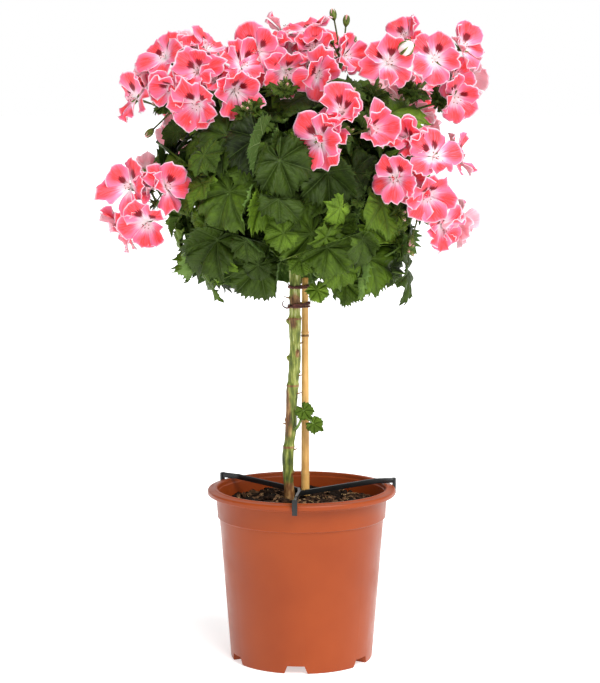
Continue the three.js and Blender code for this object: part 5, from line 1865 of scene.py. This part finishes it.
def add_bud(sheet, solid, at, place, length=BUD_LENGTH, radius=BUD_RADIUS, salt=0, held=0.66,
            petals=bud_pink):
    """A bud on its stalk: folded petals, and sepals that cover a share of them."""
    facing = unit(place - at)
    foot = place - facing * length / 2
    bend = lerp(at, foot, 0.5) - vec([0, 0, 1.5])
    stalk = arc(at, bend, foot + facing * length * 0.15, 7)
    thick = PEDICEL_RADIUS * 0.85 * radius / BUD_RADIUS + 0.15
    solid.add(*tube(stalk, np.full(7, thick), 6), stalk_dark)
    add_hairs(solid, stalk, np.full(7, thick), 5, salt + 60)
    shares = np.array([0, 0.08, 0.25, 0.45, 0.65, 0.85, 0.97, 1])
    radii = radius * 0.9 * bud_outline(shares) + 0.12
    solid.add(*tube(foot + facing * length * shares[:, None], radii, 8), petals)
    add_bud_sepals(sheet, foot, facing, length, radius, held)
    line = foot + facing * length * np.linspace(0.05, 0.8, 7)[:, None]
    add_hairs(solid, line, np.full(7, radius * 0.9), 9, salt + 70)


def add_umbel(sheet, solid, index, umbel):
    """An umbel's green parts: a stalk and sepals behind each bloom, bracts at the hub, and buds."""
    at = vec(umbel["at"])
    outward = unit(at - FOLIAGE)
    for i, bloom in enumerate(shown_blooms(index, umbel)):
        back = bloom["place"] - bloom["facing"] * 1.1
        radii = PEDICEL_RADIUS * vec(PEDICEL_SWELLS)
        line = arc(at, lerp(at, back, 0.6), back, 8)
        solid.add(*tube(line, radii, 8), stalk_dark)
        add_hairs(solid, line, radii, 9, 10 * i + index)
        foot = back - bloom["facing"] * 0.6
        add_whorl(sheet, foot, bloom["facing"], SEPALS, 10.5, 4.0, 0.6, i + 11)
    ends = [at - outward * 4, at - outward * 2, at, at + outward * 2, at + outward * 3.4]
    solid.add(*tube(ends, [2, 3.1, 3.4, 2.6, 1.2], 10), stem_green)
    add_whorl(sheet, at - outward * 1.5, outward, 8, 9.5, 3.6, 0.75, 5)
    add_whorl(sheet, at, outward, 5, 7, 2.6, 0.45, 6)
    side = unit(np.cross(outward, vec([0.2, 0.9, 0.4])))
    for k in range(4):
        lean = turned(side, outward, 1.57 * k + 3 * chance(k, index))
        place = at + outward * (7 + 4 * chance(k, 8)) + lean * (5 + 3 * chance(k, 9))
        add_bud(sheet, solid, at + outward, place, 6, 1.7, salt=k + 4)
    for i, place in enumerate(umbel.get("buds", [])):
        add_bud(sheet, solid, at, vec(place), salt=i + index)
    for place in umbel.get("half_open", []):
        add_bud(sheet, solid, at, vec(place), 21, 8, 3, 0.22, bud_white)


# Leafy stems

def add_petiole(solid, line, thick, hairs, seed):
    radii = thick * (1.05 - 0.3 * np.linspace(0, 1, len(line)) ** 2)
    solid.add(*tube(line, radii, 8 if hairs else 6), stem_green)
    add_hairs(solid, line, radii, hairs, seed)


def add_small_leaf(sheet, solid, index, number, walls, curves, standing):
    """A small leaf on its petiole, moved in or out until it is clear of the leaves that stand."""
    young = number >= FILLER_COUNT
    for shift in SMALL_SHIFTS:
        root, tip = bent_ends(SMALL_LEAVES[number], (1, 0, shift), index)
        plan = leaf_plan(push_inside(root, walls, ROOT_MARGIN), tip, number + 100)
        plan["upper"] = turned(plan["upper"], plan["along"], LEAF_ROLL * (chance(number, 23) - 0.5))
        fan = fan_of(plan, walls)
        if not any(fan.overlap(other) for other in standing):
            break
    else:
        return
    standing.append(fan)
    if young:
        add_leaf(sheet, plan, walls, 0.35 + 0.6 * chance(number, 22), YOUNG_RINGS, YOUNG_EDGE)
    else:
        add_leaf(sheet, plan, walls, 0.8 * chance(number, 22), FILLER_RINGS, FILLER_EDGE)
    plan["seat"] = plan["root"]
    add_petiole(solid, petiole_line(plan, curves, walls, 34, 7), 0.7 if young else 0.85, 0, number)


def add_tuft(sheet, solid, place, curves, salt):
    """The growing end of a twig: young leaves, pointed bracts and small buds."""
    outward = unit(place - FOLIAGE)
    start = petiole_start(place, curves, 45)
    line = arc(start, lerp(start, place, 0.6) + outward * 3, place, 9)
    solid.add(*tube(line, np.linspace(1.3, 1.0, 9), 8), stem_green)
    add_hairs(solid, line, np.full(9, 1.1), 10, salt)
    add_whorl(sheet, place - outward, outward, 7, 11, 2.8, 0.6, salt)
    add_whorl(sheet, place + outward, outward, 6, 9, 2.2, 0.3, salt + 3)
    side = unit(np.cross(outward, vec([0.3, 0.2, 0.93])))
    for k in range(4):
        lean = turned(side, outward, 1.57 * k + salt)
        root = place - outward + lean * 2
        tip = root + (lean * 0.8 + outward * (0.3 + 0.6 * chance(k, salt))) * (11 + 6 * chance(k, salt + 1))
        plan = leaf_plan(root, tip, 7 * salt + k)
        add_leaf(sheet, plan, [], 0.5, YOUNG_RINGS, YOUNG_EDGE)
    for k in range(3):
        lean = turned(side, outward, 2.1 * k + salt + 0.8)
        bud = place + outward * (7 + 4 * chance(k, salt + 2)) + lean * 4
        add_bud(sheet, solid, place, bud, 6.5, 1.8, salt=k + salt)


def add_twigs(solid, index):
    """A leafy stem's twigs, a little swollen where leaves have been."""
    for end in stem_ends(index):
        curve = stem_curve(index, end, 17)
        radii = np.linspace(STEM_RADIUS, STALK_RADIUS, 17) * (1 + 0.16 * (np.arange(17) % 4 == 2))
        solid.add(*tube(curve, radii, 12), stem_green)
        add_hairs(solid, curve, radii, 30, index)


def add_planned_leaves(sheet, solid, index, walls, curves):
    """The leaves that the solid has. Gives back a few triangles of each, to keep others clear."""
    corners = corners_of(f"leafy_stem_{index + 1}")
    standing = []
    for number, leaf in enumerate(LEAVES):
        if stem_at(leaf[2]) != index:
            continue
        plan = settled_plan(leaf, number, index, walls, corners)
        if plan is None:
            print("leaf not found in the solids:", number)
            continue
        plan["size"] *= LEAF_SCALES.get(number, 0.95)
        standing.append(fan_of(plan, walls))
        # Some leaves' tints are set to paint sunlight and shade on them, as well as their own colour.
        add_leaf(sheet, plan, walls, LEAF_TINTS_AND_PAINTED_LIGHT.get(number, chance(number, 21)))
        line = settled_petiole(plan, curves, walls, corners)
        add_petiole(solid, line, PETIOLE_RADIUS, 12, number)
    return standing


def stem_piece(index):
    sheet, solid = Shape(GREEN_PARTS), Shape(GREEN_PARTS)
    umbels = STEMS[index]["umbels"]
    walls = walls_of(index) + [umbel_wall(umbel, False) for umbel in umbels]
    curves = [stem_curve(index, end, CURVE_COUNT) for end in stem_ends(index)]
    add_twigs(solid, index)
    standing = add_planned_leaves(sheet, solid, index, walls, curves)
    for number, leaf in enumerate(SMALL_LEAVES):
        if stem_at(leaf[2]) == index:
            add_small_leaf(sheet, solid, index, number, walls, curves, standing)
    for number, place in enumerate(TUFTS):
        if stem_at(vec(place)) == index:
            add_tuft(sheet, solid, vec(place), curves, number)
    for umbel in umbels:
        add_umbel(sheet, solid, index, umbel)
    piece = grown_piece(f"leaves_{index + 1}", sheet, solid, LEAF_THICK)
    hand_in(piece, [f"leafy_stem_{index + 1}"])


# Side shoot, half way up the trunk

def shoot_piece():
    sheet, solid = Shape(GREEN_PARTS), Shape(GREEN_PARTS)
    spot, out = on_trunk(SHOOT_HEIGHT, SHOOT_TURN)
    stem = arc(spot, spot + out * 4, SHOOT_FORK, 8)
    solid.add(*tube(stem, np.linspace(1.5, 1.2, 8), 8), stem_green)
    add_hairs(solid, stem, np.full(8, 1.3), 20, 3)
    facing = unit(vec(SHOOT_FACING))
    for number, (root, bend, tip) in enumerate(vec(SHOOT_LEAVES)):
        line = arc(SHOOT_FORK, bend, root, 8)
        solid.add(*tube(line, np.full(8, 0.8), 8), stem_green)
        add_hairs(solid, line, np.full(8, 0.8), 10, 5 + number)
        plan = leaf_plan(root, root + (tip - root) * 0.9, number + 1)
        plan["upper"] = unit(facing - (facing @ plan["along"]) * plan["along"])
        add_leaf(sheet, plan, [], 0.75, FILLER_RINGS, SHOOT_EDGE, 0.05)
    add_whorl(sheet, SHOOT_FORK, vec([0, 0, 1.0]), 4, 4, 1.8, 0.5, 2)
    hand_in(grown_piece("side_shoot_leaves", sheet, solid, LEAF_THICK), ["side_shoot"])


# Camera, floor and light

def camera():
    data = bpy.data.cameras.new("camera")
    data.lens = CAMERA_LENS
    data.clip_end = 2 * FLOOR_REACH * MM
    made = bpy.data.objects.new("camera", data)
    made.location = [c * MM for c in CAMERA_PLACE]
    made.rotation_euler = (math.radians(90 - CAMERA_TILT), 0, 0)
    bpy.context.scene.collection.objects.link(made)
    bpy.context.scene.camera = made


def floor():
    """A matt white board, lit evenly by a glow of its own as well."""
    bpy.ops.object.select_all(action="DESELECT")
    bpy.ops.mesh.primitive_circle_add(vertices=64, radius=FLOOR_REACH * MM, fill_type="NGON")
    made = bpy.context.object
    made.name = "floor"
    board, _, _ = material(
        "matt_white_board", 0.95, Specular_IOR_Level=0.0, Base_Color=linear("#f4f4f4"),
        Emission_Color=linear("#ffffff"), Emission_Strength=FLOOR_GLOW)
    dress(made, board)


def backdrop():
    """A white backdrop, dimmer above the horizon and dark at the left, so that the plant is
    shaded on its left side as in the photograph. It stays white behind the plant."""
    world = bpy.data.worlds.new("studio")
    world.use_nodes = True
    tree = world.node_tree
    way = add(tree, "TexCoord").node.outputs["Generated"]
    split = add(tree, "SeparateXYZ", way).node.outputs
    sky = add(tree, "MapRange", split[2], 0.08, 0.3, HORIZON_LIGHT, SKY_LIGHT)
    behind = add(tree, "Math MAXIMUM", split[1], 0.0)
    across = add(tree, "Math MULTIPLY_ADD", behind, 0.8, split[0])
    left = add(tree, "MapRange", across, -0.8, 0.3, LEFT_LIGHT, 1.0)
    high = add(tree, "MapRange", split[2], 0.09, 0.2, 0.0, 1.0)
    left = add(tree, "Math MULTIPLY_ADD", add(tree, "Math SUBTRACT", left, 1.0), high, 1.0)
    shade = add(tree, "Math MULTIPLY", sky, left)
    tree.links.new(shade, tree.nodes["Background"].inputs[0])
    bpy.context.scene.world = world


def lamps():
    for name, (toward, width, strength) in LAMPS.items():
        data = bpy.data.lights.new(name, "SUN")
        data.angle = math.radians(width)
        data.energy = strength
        lamp = bpy.data.objects.new(name, data)
        lamp.rotation_euler = Vector(toward).to_track_quat("Z", "Y").to_euler()
        bpy.context.scene.collection.objects.link(lamp)
    bpy.context.scene.view_settings.view_transform = "Standard"


camera()
floor()
backdrop()
lamps()
pot_piece()
soil_piece()
trunk_piece()
cane_piece()
brace_piece()
for node, (height, wraps, ends) in TIES.items():
    tie_piece(node, height, wraps, ends)
shoot_piece()
for index, stem in enumerate(STEMS):
    stem_piece(index)
    if stem["umbels"]:
        flower_piece(index)
